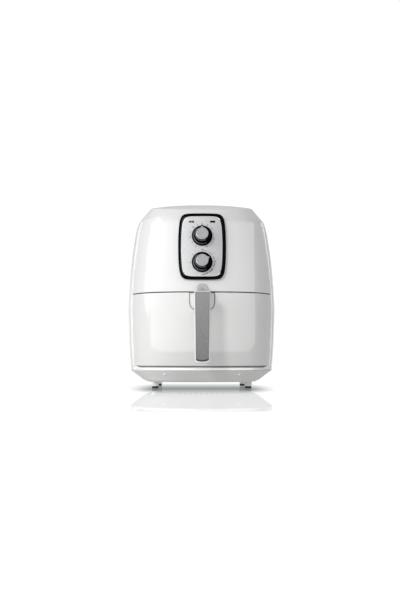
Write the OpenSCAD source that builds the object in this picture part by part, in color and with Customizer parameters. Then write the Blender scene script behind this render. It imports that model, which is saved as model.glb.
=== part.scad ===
// Drawer-type hot-air fryer with two dials. Millimetres, +Z up, front towards -Y.

/* [Body] */
// Overall width of the body
body_w = 303.4; // [300:0.2:306]
// Overall height, feet included
body_h = 372; // [369:1:376]
// Thickness of the moulded shells
shell_t = 2.6; // [2.2:0.1:3]
// Height of the gap above the drawer front
seam_gap = 1.6; // [1.2:0.1:2]

/* [Base] */
// Height of the feet under the base
foot_h = 13; // [13:1:13]
// Radius of the rubber pads
pad_r = 6.2; // [5:0.2:7]

/* [Control panel] */
// Height of the panel's centre above the floor
panel_z = 274.6; // [273:0.1:276]
// Lean of the panel from upright, degrees
panel_tilt = 6.7; // [6:0.1:7.4]
// Radius of a knob's skirt
knob_r = 20; // [18:0.2:21]
// Radius of a knob's end cap
cap_r = 12.2; // [11:0.2:13]
// Radius of the dial shafts
shaft_r = 3; // [2.8:0.1:3.2]

/* [Drawer] */
// Outer width of the pan
pan_w = 216; // [212:1:216]
// Outer depth of the pan
pan_d = 224; // [220:1:224]
// Wall of the pan and the basket
pan_t = 1; // [0.8:0.1:1.4]
// Pitch of the holes in the basket floor
hole_pitch = 20; // [18:1:22]

/* [Handle] */
// Width of the grip at its top
grip_w = 31; // [30:0.5:32]
// Thickness of the grip, front to back
grip_t = 20; // [19:0.5:21]

/* [Air system] */
// Number of blades on the convection fan
fan_blades = 8; // [6:1:10]
// Tube diameter of the heating element
heater_d = 6.5; // [6:0.1:7]

/* [Cord inlet] */
// Radius of the cord's hole in the inlet bush
cord_r = 3.6; // [3.2:0.1:4]

/* [Hidden] */
$fn = 48;
eps = 0.01;

handle_front = 220;           // how far the handle's face lies in front of the body's middle
rear_reach = 168;             // how far the rear spacers lie behind it
y_shift = (handle_front - rear_reach) / 2;

seam_z = 188;                 // lower edge of the upper front shell
drawer_top = seam_z - seam_gap;
drawer_bot = 46.2;
trim_top = 43.6;
skirt_top = 36;
wrap_a = 23.5;                // angle at which the wrap-round shell meets the front faces

// Half width, front depth and rear depth against height
HW = [[36, 145], [60, 147.1], [90, 149.1], [125, 150.6], [160, 151.7], [200, 149.3], [235, 146.1],
      [267, 142.3], [300, 137.4], [316, 134.5], [326, 132], [336, 128.7], [342, 126.2]];
HF = [[36, 158.5], [45, 160.5], [80, 165.5], [120, 168], [165, 169], [187, 168.6], [210, 167.2],
      [274, 161.6], [320, 155.5], [336, 152.5], [342, 151]];
HB = [[36, 148], [60, 153], [120, 158], [170, 160], [250, 156], [300, 148], [336, 137], [342, 134.5]];
BOT = [113.5, 134, 128];        // the same three at the bottom of the base
n_front = 2.6;
n_rear = 3.2;

function seg(T, z, i = 0) = (i >= len(T) - 2 || z < T[i + 1][0]) ? i : seg(T, z, i + 1);
function crv(T, z) =
  let (i = seg(T, z), z0 = T[i][0], z1 = T[i + 1][0], v0 = T[i][1], v1 = T[i + 1][1],
       m0 = i > 0 ? (v1 - T[i - 1][1]) / (z1 - T[i - 1][0]) : (v1 - v0) / (z1 - z0),
       m1 = i < len(T) - 2 ? (T[i + 2][1] - v0) / (T[i + 2][0] - z0) : (v1 - v0) / (z1 - z0),
       h = z1 - z0, t = (z - z0) / h)
  (2 * t * t * t - 3 * t * t + 1) * v0 + (t * t * t - 2 * t * t + t) * h * m0
  + (3 * t * t - 2 * t * t * t) * v1 + (t * t * t - t * t) * h * m1;
function sp(v, e) = (v < 0 ? -1 : 1) * pow(abs(v), e);
function ss(a, b, v) = let (t = min(1, max(0, (v - a) / (b - a)))) t * t * (3 - 2 * t);
// A point of the body's outline: th = -90 is the front middle, 0 the right side, 90 the back
function S(th, z, off = 0) =
  let (n = sin(th) < 0 ? n_front : n_rear,
       a = crv(HW, z) * body_w / 303.4 + off,
       b = (sin(th) < 0 ? crv(HF, z) : crv(HB, z)) + off)
  [a * sp(cos(th), 2 / n), b * sp(sin(th), 2 / n), z];
// The outline at the bottom of the base
function B(th, z, off = 0) =
  [(BOT[0] + off) * sp(cos(th), 2 / n_rear),
   (sin(th) < 0 ? BOT[1] + off : BOT[2] + off) * sp(sin(th), 2 / n_rear), z];
// Upper edge of the shells: highest in front, lowest where the wrap-round shell meets the front
function zc(th) = 334.7 + (sin(th) < 0 ? 5.8 * pow(abs(sin(th)), 3.3) : 0) + 1.7 * ss(-23.5, 0, asin(sin(th)));
// Rise of the top above that edge, as a share of the whole rise, at the scale s of the edge:
// a chamfer that turns into a shallow dome, with its corner sharper at the sides
function rise(s, th) =
  let (w = pow(abs(cos(th)), 1.55), c = (1 - s) * (5.8 - 2.275 * w),
       d = 1 - (0.6 - 0.443 * w) * pow(s / (0.883 - 0.137 * w), 2.4))
  s > 0.9999 ? 0 : pow(pow(c, -10) + pow(d, -10), -0.1);
// The front faces are sunk a little where they meet the wrap-round shell
function F(th, z, off = 0) = S(th, z, off - 2.4 * ss(0.6, 0.9, pow(abs(cos(th)), 2 / n_front)));
// Depth of the front surface at x
function fy(x, z, off = 0) =
  let (a = crv(HW, z) + off, b = crv(HF, z) + off)
  -b * pow(1 - pow(min(1, abs(x) / a), n_front), 1 / n_front);

// A closed sheet between an outer and an inner grid of points
module skin(O, I, closed = false) {
  m = len(O); n = len(O[0]); k = m * n; cj = closed ? n : n - 1;
  function o(i, j) = i * n + j % n;
  function q(i, j) = k + i * n + j % n;
  polyhedron(
    points = concat([for (r = O) each r], [for (r = I) each r]),
    faces = concat(
      [for (i = [0 : m - 2], j = [0 : cj - 1]) each [
        [o(i, j), o(i + 1, j), o(i + 1, j + 1)], [o(i, j), o(i + 1, j + 1), o(i, j + 1)],
        [q(i, j), q(i + 1, j + 1), q(i + 1, j)], [q(i, j), q(i, j + 1), q(i + 1, j + 1)]]],
      [for (j = [0 : cj - 1]) each [
        [o(0, j), o(0, j + 1), q(0, j + 1)], [o(0, j), q(0, j + 1), q(0, j)],
        [o(m - 1, j + 1), o(m - 1, j), q(m - 1, j)], [o(m - 1, j + 1), q(m - 1, j), q(m - 1, j + 1)]]],
      closed ? [] : [for (i = [0 : m - 2]) each [
        [o(i + 1, 0), o(i, 0), q(i, 0)], [o(i + 1, 0), q(i, 0), q(i + 1, 0)],
        [o(i, n - 1), o(i + 1, n - 1), q(i + 1, n - 1)], [o(i, n - 1), q(i + 1, n - 1), q(i, n - 1)]]]),
    convexity = 8);
}

// A tube swept along points
module sweep(P, r, sides = 8) {
  n = len(P);
  function unit(v) = v / norm(v);
  function dir(i) = unit(i == 0 ? P[1] - P[0] : i == n - 1 ? P[n - 1] - P[n - 2] : P[i + 1] - P[i - 1]);
  function side(i) = let (d = dir(i)) unit(abs(d[2]) < 0.95 ? cross(d, [0, 0, 1]) : cross(d, [1, 0, 0]));
  pts = [for (i = [0 : n - 1]) let (a = side(i), b = cross(dir(i), a))
    for (j = [0 : sides - 1]) P[i] + r * (cos(360 * j / sides) * a + sin(360 * j / sides) * b)];
  polyhedron(points = pts, faces = concat(
    [for (i = [0 : n - 2], j = [0 : sides - 1]) let (j2 = (j + 1) % sides) each [
      [i * sides + j, (i + 1) * sides + j, (i + 1) * sides + j2],
      [i * sides + j, (i + 1) * sides + j2, i * sides + j2]]],
    [[for (j = [0 : sides - 1]) j]],
    [[for (j = [sides - 1 : -1 : 0]) (n - 1) * sides + j]]), convexity = 10);
}

module place() { translate([0, y_shift, 0]) children(); }
// Rounded rectangle with true arcs
module rr(w, d, r) {
  square([w - 2 * r, d], center = true);
  square([w, d - 2 * r], center = true);
  for (x = [-1, 1], y = [-1, 1]) translate([x * (w / 2 - r), y * (d / 2 - r)]) circle(r);
}
module slab(w, d, h, r) { linear_extrude(h) rr(w, d, r); }
// The panel's outline: a soft-cornered rectangle with bellied sides
function oval(a, b, n = 8, k = 72) =
  [for (i = [0 : k - 1]) let (x = sp(cos(360 * i / k), 2 / n), y = sp(sin(360 * i / k), 2 / n))
    [a * x * (1 - 0.08 * y * y), b * y * (1 - 0.015 * x * x)]];
module screw(r = 3.2, h = 2, shank = 1.5, len = 8) {
  difference() {
    union() { cylinder(r = r, h = h); translate([0, 0, -len]) cylinder(r = shank, h = len + 0.1); }
    for (a = [0, 90]) rotate(a) translate([-r * 0.6, -0.4, h - 1]) cube([r * 1.2, 0.8, 2]);
  }
}

// ---- Outer shells ----
module housing_shell() {
  a0 = -wrap_a; a1 = 180 + wrap_a; nc = 56;
  zr = [36.3, 60, 100, 140, 180, 220, 260, 290, 312, 326];
  function row(z, off) = [for (j = [0 : nc]) S(a0 + (a1 - a0) * j / nc, z, off)];
  function top(off) = [for (j = [0 : nc]) let (t = a0 + (a1 - a0) * j / nc) S(t, zc(t) - 0.4, off)];
  color("white") place() difference() {
    skin(concat([for (z = zr) row(z, 0)], [top(0)]),
         concat([for (z = zr) row(z, -shell_t)], [top(-shell_t)]));
    translate([-50, 140, 200]) cube([100, 40, 40]);      // exhaust
    translate([51, 130, 51]) cube([18, 40, 18]);         // cord inlet
  }
}

module front_body(o, i) {
  a0 = -180 + wrap_a + 0.5; a1 = -wrap_a - 0.5; nc = 36;
  zr = [seam_z, 196, 215, 240, 265, 290, 312, 326];
  function row(z, off) = [for (j = [0 : nc]) F(a0 + (a1 - a0) * j / nc, z, off)];
  function top(off) = [for (j = [0 : nc]) let (t = a0 + (a1 - a0) * j / nc) F(t, zc(t) - 0.4, off)];
  skin(concat([for (z = zr) row(z, o)], [top(o)]), concat([for (z = zr) row(z, i)], [top(i)]));
}
module front_shell() {
  color("white") place() difference() {
    front_body(0, -shell_t);
    on_panel() translate([0, 0, -20]) linear_extrude(40) polygon(oval(40.6, 58.5));
  }
}

module top_cover() {
  nc = 60; sr = [1, 0.97, 0.93, 0.885, 0.84, 0.79, 0.73, 0.64, 0.5, 0.34, 0.17];
  function ring(s, t) = [for (j = [0 : nc - 1]) let (th = 360 * j / nc,
      c = S(th, zc(th), -(t > 0 ? shell_t : 0.2)))
      [c[0] * s, c[1] * s, zc(th) + (body_h - t - zc(th)) * rise(s, th)]];
  O = [for (s = sr) ring(s, 0)]; I = [for (s = sr) ring(s, shell_t)];
  m = len(sr); k = m * nc;
  pts = concat([for (r = O) each r], [for (r = I) each r], [[0, 0, body_h], [0, 0, body_h - shell_t]]);
  color("white") place() polyhedron(points = pts, faces = concat(
    [for (i = [0 : m - 2], j = [0 : nc - 1]) let (a = i * nc + j, b = i * nc + (j + 1) % nc, c = a + nc, d = b + nc) each [
      [a, c, d], [a, d, b], [k + a, k + d, k + c], [k + a, k + b, k + d]]],
    [for (j = [0 : nc - 1]) let (b = (j + 1) % nc) each [[j, b, k + b], [j, k + b, k + j]]],
    [for (j = [0 : nc - 1]) let (a = (m - 1) * nc + j, b = (m - 1) * nc + (j + 1) % nc) each [
      [b, a, 2 * k], [k + a, k + b, 2 * k + 1]]]), convexity = 6);
}

module base_skirt() {
  nc = 64;
  function row(t, off) = [for (j = [0 : nc - 1]) let (th = 360 * j / nc, p = B(th, foot_h, off), q = S(th, skirt_top, off))
      p + (q - p) * t];
  color("gainsboro") place() difference() {
    skin([row(0, 0), row(1, -0.2)], [row(0, -4), row(1, -4)], closed = true);
    for (s = [-1, 1]) plug_at(s) translate([0, 0, -8]) cylinder(r = 2.9, h = 16);
  }
}
module plug_at(s) { translate([s * 72.4, -139.2, 28.8]) rotate([133, 0, 0]) rotate([0, s * 6, 0]) children(); }

module bottom_plate() {
  color("gainsboro") place() difference() {
    translate([0, 0, foot_h + 0.3]) linear_extrude(2.2) polygon([for (i = [0 : 71]) let (p = B(i * 5, 0, -4.6)) [p[0], p[1]]]);
    for (x = [-44 : 11 : 44]) translate([x, -20, foot_h - 1]) linear_extrude(6) rr(4, 90, 1.9);
    for (x = [-1, 1], y = [-60, 56]) translate([x * 88, y, foot_h - 1]) cylinder(r = 1.8, h = 6);
  }
}

module front_trim() {
  a0 = -180 + wrap_a + 0.5; a1 = -wrap_a - 0.5; nc = 36;
  function row(z, off) = [for (j = [0 : nc]) F(a0 + (a1 - a0) * j / nc, z, off)];
  color("white") place() {
    skin([row(36.3, 0), row(40, 0), row(trim_top, 0)], [row(36.3, -6), row(40, -6), row(trim_top, -6)]);
    skin([row(trim_top - 0.2, -3.8), row(48.4, -3.8)], [row(trim_top - 0.2, -5.8), row(48.4, -5.8)]);
  }
}

foot_xy = [[92.4, -88], [-92.4, -88], [90, 84], [-90, 84]];
module foot_stems() {
  color("white") place() for (p = foot_xy) translate([p[0], p[1], 0]) difference() {
    union() {
      translate([0, 0, 4.2]) cylinder(r1 = 7.2, r2 = 9, h = foot_h - 4.2);
      translate([0, 0, foot_h - 0.1]) cylinder(r = 5, h = 0.35);
    }
    translate([0, 0, -1]) cylinder(r = 3.05, h = 9);
  }
}
module rubber_feet() {
  color("dimgray") place() for (p = foot_xy) translate([p[0], p[1], 0]) {
    cylinder(r = pad_r, h = 4.1);
    translate([0, 0, 4]) cylinder(r = 2.95, h = 3.6);
  }
}
module base_plugs() {
  color("white") place() for (s = [-1, 1]) plug_at(s) {
    translate([0, 0, -4]) cylinder(r = 2.7, h = 5.2);
    translate([0, 0, 1.2]) cylinder(r1 = 2.7, r2 = 1.9, h = 0.7);
  }
}
module base_screws() {
  color("silver") place() for (x = [-1, 1], y = [-60, 56]) translate([x * 88, y, foot_h + 0.25]) rotate([180, 0, 0]) screw(3, 1.6, 1.5, 8);
}

// ---- Cooking chamber ----
ax_y = -19;                    // middle of the pan and the fan
module cavity_liner() {
  color("silver") place() difference() {
    translate([-120.2, -84, 42]) cube([240.4, 191.5, 155.5]);
    translate([-119.2, -120, 43]) cube([238.4, 226.5, 153.5]);
    translate([0, ax_y, 190]) cylinder(r = 84, h = 12);
    translate([80, 100, 120]) rotate([-90, 0, 0]) cylinder(r = 2.6, h = 12);
  }
}
module drawer_rails() {
  color("silver") place() for (s = [-1, 1]) translate([s * 114.1 - 4.9, -82, 162]) cube([9.8, 186, 4.2]);
}
module air_shroud() {
  color("silver") place() translate([0, ax_y, 0]) difference() {
    translate([0, 0, 197.8]) cylinder(r = 106, h = 42.2, $fn = 72);
    translate([0, 0, 197]) cylinder(r = 105, h = 42, $fn = 72);
    translate([0, 0, 230]) cylinder(r = 8, h = 20);
    for (a = [0 : 90 : 270]) rotate(a + 45) translate([24, 0, 230]) cylinder(r = 1.9, h = 20);
    translate([-41, 60, 203]) cube([82, 60, 33.4]);
  }
}
module exhaust_duct() {
  color("silver") place() difference() {
    translate([-40.6, 84.5, 203.4]) cube([81.2, 70, 32.6]);
    translate([-39.4, 60, 204.6]) cube([78.8, 120, 30.2]);
    translate([0, ax_y, 190]) cylinder(r = 106.4, h = 60, $fn = 72);
  }
}
function pol(r, a, z) = [r * cos(a), r * sin(a), z];
module heating_element() {
  z = 212;
  color("dimgray") place() translate([0, ax_y, 0]) sweep(concat(
    [pol(90, 12, 236), pol(90, 12, 224), pol(90, 12.5, 215), pol(85, 13.5, z)],
    [for (i = [0 : 38]) pol(78, 18 + 326 * i / 38, z)],
    [pol(74, 349, z), pol(65, 351, z), pol(56, 349, z)],
    [for (i = [0 : 26]) pol(52, 343 - 323 * i / 26, z)],
    [pol(53.5, 11, z), pol(58, 4, z), pol(66, 0.5, z), pol(76, 0, z), pol(85, 0, z),
     pol(90, 0, 215), pol(90, 0, 224), pol(90, 0, 236)]), heater_d / 2, 8);
}
module heater_clips() {
  color("silver") place() translate([0, ax_y, 0]) for (a = [60, 150, 240, 330]) rotate(a) {
    translate([44, -4, 206.9]) cube([38, 8, 1.4]);
    translate([81.6, -4, 207]) cube([1.2, 8, 31.4]);
  }
}
module heater_guard() {
  color("silver") place() translate([0, ax_y, 0]) {
    for (r = [17, 35, 53, 71]) translate([0, 0, 197.9]) difference() {
      cylinder(r = r + 1, h = 2, $fn = 72);
      translate([0, 0, -1]) cylinder(r = r - 1, h = 4, $fn = 72);
    }
    translate([0, 0, 197.7]) difference() {
      cylinder(r = 87.5, h = 2, $fn = 72);
      translate([0, 0, -1]) cylinder(r = 82.6, h = 5, $fn = 72);
    }
    for (a = [0 : 45 : 135]) rotate(a) translate([-84, -0.9, 199.5]) cube([168, 1.8, 1.8]);
  }
}

// ---- Fan and motor ----
module convection_fan() {
  color("silver") place() translate([0, ax_y, 0]) difference() {
    union() {
      translate([0, 0, 220]) cylinder(r = 11, h = 10);
      translate([0, 0, 229]) cylinder(r = 74, h = 1.4, $fn = 72);
      for (i = [0 : fan_blades - 1]) rotate(360 * i / fan_blades) translate([10, -0.7, 219]) rotate([8, 0, 0]) cube([63, 1.4, 10.6]);
    }
    translate([0, 0, 210]) cylinder(r = 3.02, h = 30);
  }
}
module motor_shaft() {
  color("silver") place() translate([0, ax_y, 216]) cylinder(r = 3, h = 106);
}
module cooling_fan() {
  color("gray") place() translate([0, ax_y, 0]) difference() {
    union() {
      translate([0, 0, 304]) cylinder(r = 9, h = 12);
      translate([0, 0, 304]) cylinder(r = 40, h = 1.6, $fn = 60);
      for (i = [0 : 9]) rotate(36 * i) translate([8, -0.8, 305]) rotate([-14, 0, 0]) cube([34, 1.6, 10]);
    }
    translate([0, 0, 300]) cylinder(r = 3.02, h = 30);
  }
}
module fan_motor() {
  color("gray") place() translate([0, ax_y, 0]) difference() {
    union() {
      translate([0, 0, 252]) cylinder(r = 33, h = 34);
      translate([0, 0, 246]) cylinder(r = 11, h = 50);
      translate([-38, -14, 258]) cube([76, 28, 22]);
    }
    translate([0, 0, 240]) cylinder(r = 3.05, h = 70);
  }
}
module motor_bracket() {
  color("silver") place() translate([0, ax_y, 0]) difference() {
    union() {
      translate([-40, -40, 248.4]) cube([80, 80, 1.6]);
      for (s = [-1, 1]) translate([s * 36.6 - 3, -11, 249.9]) cube([6, 22, 8]);
      for (a = [0 : 90 : 270]) rotate(a + 45) translate([24, 0, 240.3]) cylinder(r = 5, h = 8.2);
    }
    translate([0, 0, 240]) cylinder(r = 11.6, h = 20);
    for (a = [0 : 90 : 270]) rotate(a + 45) translate([24, 0, 235]) cylinder(r = 1.9, h = 20);
  }
}
module motor_screws() {
  color("silver") place() translate([0, ax_y, 0]) for (a = [0 : 90 : 270]) rotate(a + 45) translate([24, 0, 250.1]) screw(3, 1.4, 1.5, 14);
}

// ---- Control panel ----
panel_y = -162.9;              // front face of the plate, at the panel's centre
timer_v = 21.8;                // knob centres, up the panel from its centre
temp_v = -30.2;
module on_panel() { translate([0, panel_y, panel_z]) rotate([90 - panel_tilt, 0, 0]) children(); }
module panel_bezel() {
  color("black") place() difference() {
    on_panel() {
      translate([0, 0, -7]) linear_extrude(9.5) difference() { translate([0, 0.9]) polygon(oval(46.3, 65.1)); polygon(oval(41.3, 59.7)); }
      translate([0, 0, -8]) linear_extrude(8) difference() { polygon(oval(41.4, 59.8)); polygon(oval(38.6, 57)); }
    }
    difference() {
      front_body(0.1, -12);
      on_panel() translate([0, 0, -30]) linear_extrude(60) polygon(oval(40.4, 58.3));
    }
  }
}
module panel_plate() {
  color("silver") place() on_panel() translate([0, 0, 0.05]) linear_extrude(1.5) difference() {
    polygon(oval(41, 59.4));
    for (v = [timer_v, temp_v]) translate([0, v]) circle(5);
    for (s = [-1, 1]) translate([s * 20.4, 48.5]) square([9.4, 4], center = true);
  }
}
module panel_carrier() {
  color("gray") place() on_panel() difference() {
    translate([0, 0, -6]) linear_extrude(3) polygon(oval(38.2, 56.6));
    for (v = [timer_v, temp_v]) translate([0, v, -10]) cylinder(r = 5, h = 20);
    for (s = [-1, 1]) translate([s * 20.4, 48.5, -4]) cube([9.4, 4, 10], center = true);
  }
}
module lamp(s) {
  place() on_panel() translate([s * 20.4, 48.5, 0]) {
    translate([0, 0, -2.4]) linear_extrude(4.6) square([9, 3.6], center = true);
  }
}
module power_lamp() { color("darkred") lamp(-1); }
module heat_lamp() { color("darkgreen") lamp(1); }
module lamp_board() {
  color("green") place() on_panel() translate([0, 49.5, -12.4]) linear_extrude(1.6) square([50, 10], center = true);
}

module dial_unit(v, w, h, d) {
  on_panel() translate([0, v, 0]) difference() {
    union() {
      translate([-w / 2, -h / 2, -6.4 - d]) cube([w, h, d]);
      translate([0, 0, -6.5]) cylinder(r = 4.6, h = 5);
    }
    translate([0, 0, -20]) cylinder(r = shaft_r + 0.05, h = 30);
  }
}
module timer_unit() { color("lightgray") place() dial_unit(timer_v, 44, 40, 26); }
module timer_bell() {
  color("silver") place() on_panel() translate([0, timer_v, -34]) difference() {
    cylinder(r1 = 14, r2 = 17, h = 1.4);
    translate([0, 0, -1]) cylinder(r = 1.5, h = 4);
  }
}
module thermostat_unit() { color("silver") place() dial_unit(temp_v, 34, 34, 17); }
module thermostat_bulb() {
  color("peru") place() {
    sweep([[17, -150, 243], [22, -150, 243], [27, -149, 241], [31, -146, 236], [35, -141, 229], [40, -134, 222],
      [47, -126, 217], [56, -117, 214.5], [66, -108, 214], [69, -105, 214]], 1, 8);
    sweep([[69, -105, 214], [75, -99, 214], [81, -92.5, 214], [86.5, -85, 214]], 2, 8);
  }
}
module dial_shaft(v) {
  place() on_panel() translate([0, v, -19]) difference() {
    cylinder(r = shaft_r, h = 31);
    translate([1.8, -5, 20.6]) cube([5, 10, 12]);
  }
}
module timer_shaft() { color("silver") dial_shaft(timer_v); }
module thermostat_shaft() { color("silver") dial_shaft(temp_v); }

module knob(v, a) {
  place() on_panel() translate([0, v, 0]) difference() {
    union() {
      translate([0, 0, 2.2]) cylinder(r = knob_r, h = 2.4);
      translate([0, 0, 4.5]) cylinder(r1 = 17.6, r2 = 16.2, h = 5.8);
      translate([0, 0, 10.2]) cylinder(r1 = 15.6, r2 = 13.4, h = 11.9);
      translate([0, 0, 2.2]) cylinder(r = 6, h = 14);
      rotate(-a) translate([0, 0, 10.3]) linear_extrude(11.8) polygon([[-4.2, 11], [4.2, 11], [0, 16.5]]);
    }
    translate([0, 0, 2]) cylinder(r = shaft_r + 0.05, h = 10.3);
  }
}
module knob_cap(v, a) {
  place() on_panel() translate([0, v, 22.2]) rotate(-a) linear_extrude(1.2) {
    circle(cap_r);
    polygon([[-4.6, 10.6], [4.6, 10.6], [0, 15.2]]);
  }
}
timer_a = 0;                   // where each pointer stands, clockwise from the top
temp_a = 67;
module timer_knob() { color("black") knob(timer_v, timer_a); }
module timer_knob_cap() { color("silver") knob_cap(timer_v, timer_a); }
module temp_knob() { color("black") knob(temp_v, temp_a); }
module temp_knob_cap() { color("silver") knob_cap(temp_v, temp_a); }

// ---- Rear and wiring ----
module interlock_switch() {
  color("black") place() difference() {
    translate([70, 108, 110]) cube([20, 12, 20]);
    translate([80, 100, 120]) rotate([-90, 0, 0]) cylinder(r = 2.06, h = 17);
  }
}
module interlock_plunger() {
  color("white") place() translate([80, 93.3, 120]) rotate([-90, 0, 0]) cylinder(r = 2, h = 19.6);
}
module terminal_block() {
  color("white") place() difference() {
    translate([30, 107.7, 60]) cube([36, 14, 16]);
    for (x = [36, 48, 60]) translate([x, 114.7, 68]) cylinder(r = 2.4, h = 10);
  }
}
module rear_vent_grille() {
  color("gainsboro") place() {
    difference() {
      translate([-49.7, 155.2, 200.3]) cube([99.4, 6.4, 39.4]);
      translate([-45, 150, 204.5]) cube([90, 20, 31]);
    }
    for (z = [207 : 4.4 : 234]) translate([-45.5, 156.5, z]) rotate([-24, 0, 0]) cube([91, 4.6, 1.4]);
  }
}
module rear_spacers() {
  color("gainsboro") place() for (s = [-1, 1]) translate([s * 60, 157.7, 150]) rotate([-90, 0, 0]) cylinder(r = 7, h = rear_reach - 157.7);
}
module rear_screws() {
  color("silver") place() for (s = [-1, 1], z = [90, 270]) let (p = S(90 - s * 30, z, 0.1))
    translate([p[0], p[1] + 0.3, z]) rotate([-90, 0, s * -14]) translate([0, 0, 0.6]) screw(3.2, 1.2, 1.5, 0.4);
}
module cord_inlet_bush() {
  color("dimgray") place() translate([60, 0, 60]) rotate([-90, 0, 0]) difference() {
    union() {
      translate([0, 0, 137.8]) linear_extrude(16) square([17.4, 17.4], center = true);
      translate([0, 0, 152.8]) linear_extrude(3) square([23, 23], center = true);
    }
    translate([0, 0, 130]) cylinder(r = cord_r, h = 40);
  }
}

// ---- Drawer ----
notch_w = 49;
notch_z = 150.2;
function notch(c, top) =
  concat([[notch_w / 2 - c, top], [-(notch_w / 2 - c), top]],
    [for (i = [0 : 20]) let (a = 180 + 9 * i) [(notch_w / 2 - c) * sp(cos(a), 0.75), notch_z + 20 + (20 - c) * sp(sin(a), 0.75)]]);
module notch_cut(c, y0, y1, top) { translate([0, y1, 0]) rotate([90, 0, 0]) linear_extrude(y1 - y0) polygon(notch(c, top)); }

module drawer_front() {
  a0 = -180 + wrap_a + 0.5; a1 = -wrap_a - 0.5; nc = 36;
  zr = [drawer_bot, 56, 75, 100, 130, 160, drawer_top];
  function row(z, off) = [for (j = [0 : nc]) F(a0 + (a1 - a0) * j / nc, z, off)];
  color("white") place() difference() {
    skin([for (z = zr) row(z, 0)], [for (z = zr) row(z, -shell_t)]);
    notch_cut(0, -190, -150, 200);
  }
}
function dshape(off, yb, xm) = let (k = 36)
  concat([for (i = [0 : k]) let (x = -xm + 2 * xm * i / k) [x, fy(x, 50, -shell_t - 2.4 - off)]], [[xm, yb], [-xm, yb]]);
module drawer_inner_frame() {
  color("gainsboro") place() difference() {
    union() {
      difference() {
        translate([0, 0, 49.6]) linear_extrude(115.6) polygon(dshape(0.5, -97, 114));
        translate([0, 0, 52]) linear_extrude(110.8) polygon(dshape(2.9, -92, 111.6));
      }
      translate([-notch_w / 2 - 2, -162, 144]) cube([notch_w + 4, 22, 38.8]);
    }
    translate([0, ax_y, 40]) slab(pan_w + 1.4, pan_d + 1.4, 200, 34.7);
    notch_cut(0, -190, -110, 200);
  }
}
module pan() {
  color("dimgray") place() translate([0, ax_y, 0]) {
    difference() {
      union() {
        translate([0, 0, 50]) slab(pan_w, pan_d, 118, 34);
        translate([0, 0, 166.6]) slab(pan_w + 8, pan_d + 8, 1.4, 38);
      }
      translate([0, 0, 50 + pan_t]) slab(pan_w - 2 * pan_t, pan_d - 2 * pan_t, 130, 34 - pan_t);
    }
    for (i = [0 : 7]) rotate(45 * i + 12) translate([22, -1, 50.6]) cube([52, 2, 7]);
    translate([0, 0, 50.6]) cylinder(r1 = 22, r2 = 12, h = 8);
  }
}
bk_w = 198;
bk_d = 206;
module basket() {
  color("dimgray") place() translate([0, ax_y, 0]) {
    difference() {
      union() {
        translate([0, 0, 66]) slab(bk_w, bk_d, 104, 28);
        translate([0, 0, 168.3]) slab(pan_w + 4, pan_d + 4, 1.4, 36);
      }
      translate([0, 0, 66 + pan_t]) slab(bk_w - 2 * pan_t, bk_d - 2 * pan_t, 130, 28 - pan_t);
      for (i = [-4 : 4], j = [-4 : 4]) if (abs(i) + abs(j) < 8) translate([i * hole_pitch, j * hole_pitch, 60]) cylinder(r = 3.6, h = 10, $fn = 24);
      for (s = [-1, 1]) translate([s * 10, -111, 165]) cylinder(r = 2, h = 10);
      for (x = [-70 : 28 : 70]) translate([x - 3, -150, 78]) cube([6, 300, 14]);
      for (y = [-70 : 28 : 70]) translate([-150, y - 3, 78]) cube([300, 6, 14]);
    }
  }
}
module basket_bumpers() {
  color("black") place() translate([0, ax_y, 0]) for (s = [-1, 1], y = [-56, 56])
    translate([s * 102.75, y, 120]) rotate([0, 90, 0]) cylinder(r = 6, h = 7.3, center = true);
}
module basket_bracket() {
  color("silver") place() difference() {
    translate([-17, -158, 169.9]) cube([34, 36, 2.2]);
    for (s = [-1, 1]) translate([s * 10, -130, 165]) cylinder(r = 2, h = 10);
  }
}

// ---- Handle ----
grip_y = -handle_front;
function taper(w0, w1, z0, z1, r0, r1) =
  concat([for (i = [0 : 6]) let (a = 90 - 15 * i) [w1 / 2 - r1 + r1 * cos(a), z1 - r1 + r1 * sin(a)]],
         [for (i = [0 : 6]) let (a = -15 * i) [w0 / 2 - r0 + r0 * cos(a), z0 + r0 + r0 * sin(a)]],
         [for (i = [0 : 6]) let (a = 270 - 15 * i) [-w0 / 2 + r0 + r0 * cos(a), z0 + r0 + r0 * sin(a)]],
         [for (i = [0 : 6]) let (a = 180 - 15 * i) [-w1 / 2 + r1 + r1 * cos(a), z1 - r1 + r1 * sin(a)]]);
module upright(y0, y1) { translate([0, y1, 0]) rotate([90, 0, 0]) linear_extrude(y1 - y0) children(); }
module handle_grip() {
  color("white") place() difference() {
    upright(grip_y, grip_y + 12) polygon(taper(28.4, grip_w, 50, 186.4, 6, 3));
    upright(grip_y - 1, grip_y + 1.8) polygon(taper(23.6, 27, 53, 184, 4, 2));
    for (z = [80, 168]) translate([0, grip_y + 5, z]) rotate([-90, 0, 0]) cylinder(r = 1.45, h = 10);
  }
}
module handle_insert() {
  color("darkgray") place() upright(grip_y + 0.4, grip_y + 1.7) polygon(taper(23.2, 26.6, 53.2, 183.8, 3.8, 1.8));
}
module handle_back() {
  color("white") place() difference() {
    upright(grip_y + 12.1, grip_y + grip_t) polygon(taper(24, 26.4, 53, 159.5, 6, 2));
    translate([0, grip_y + 5, 80]) rotate([-90, 0, 0]) cylinder(r = 1.6, h = 20);
    translate([0, grip_y + grip_t - 3, 80]) rotate([-90, 0, 0]) cylinder(r = 3.6, h = 5);
  }
}
module handle_screws() {
  color("silver") place() {
    translate([0, grip_y + grip_t - 3, 80]) rotate([-90, 0, 0]) screw(3, 1.6, 1.4, 9);
    for (s = [-1, 1]) translate([s * 10, -130, 172.2]) screw(3.2, 1.4, 1.9, 3.8);
  }
}
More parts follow.
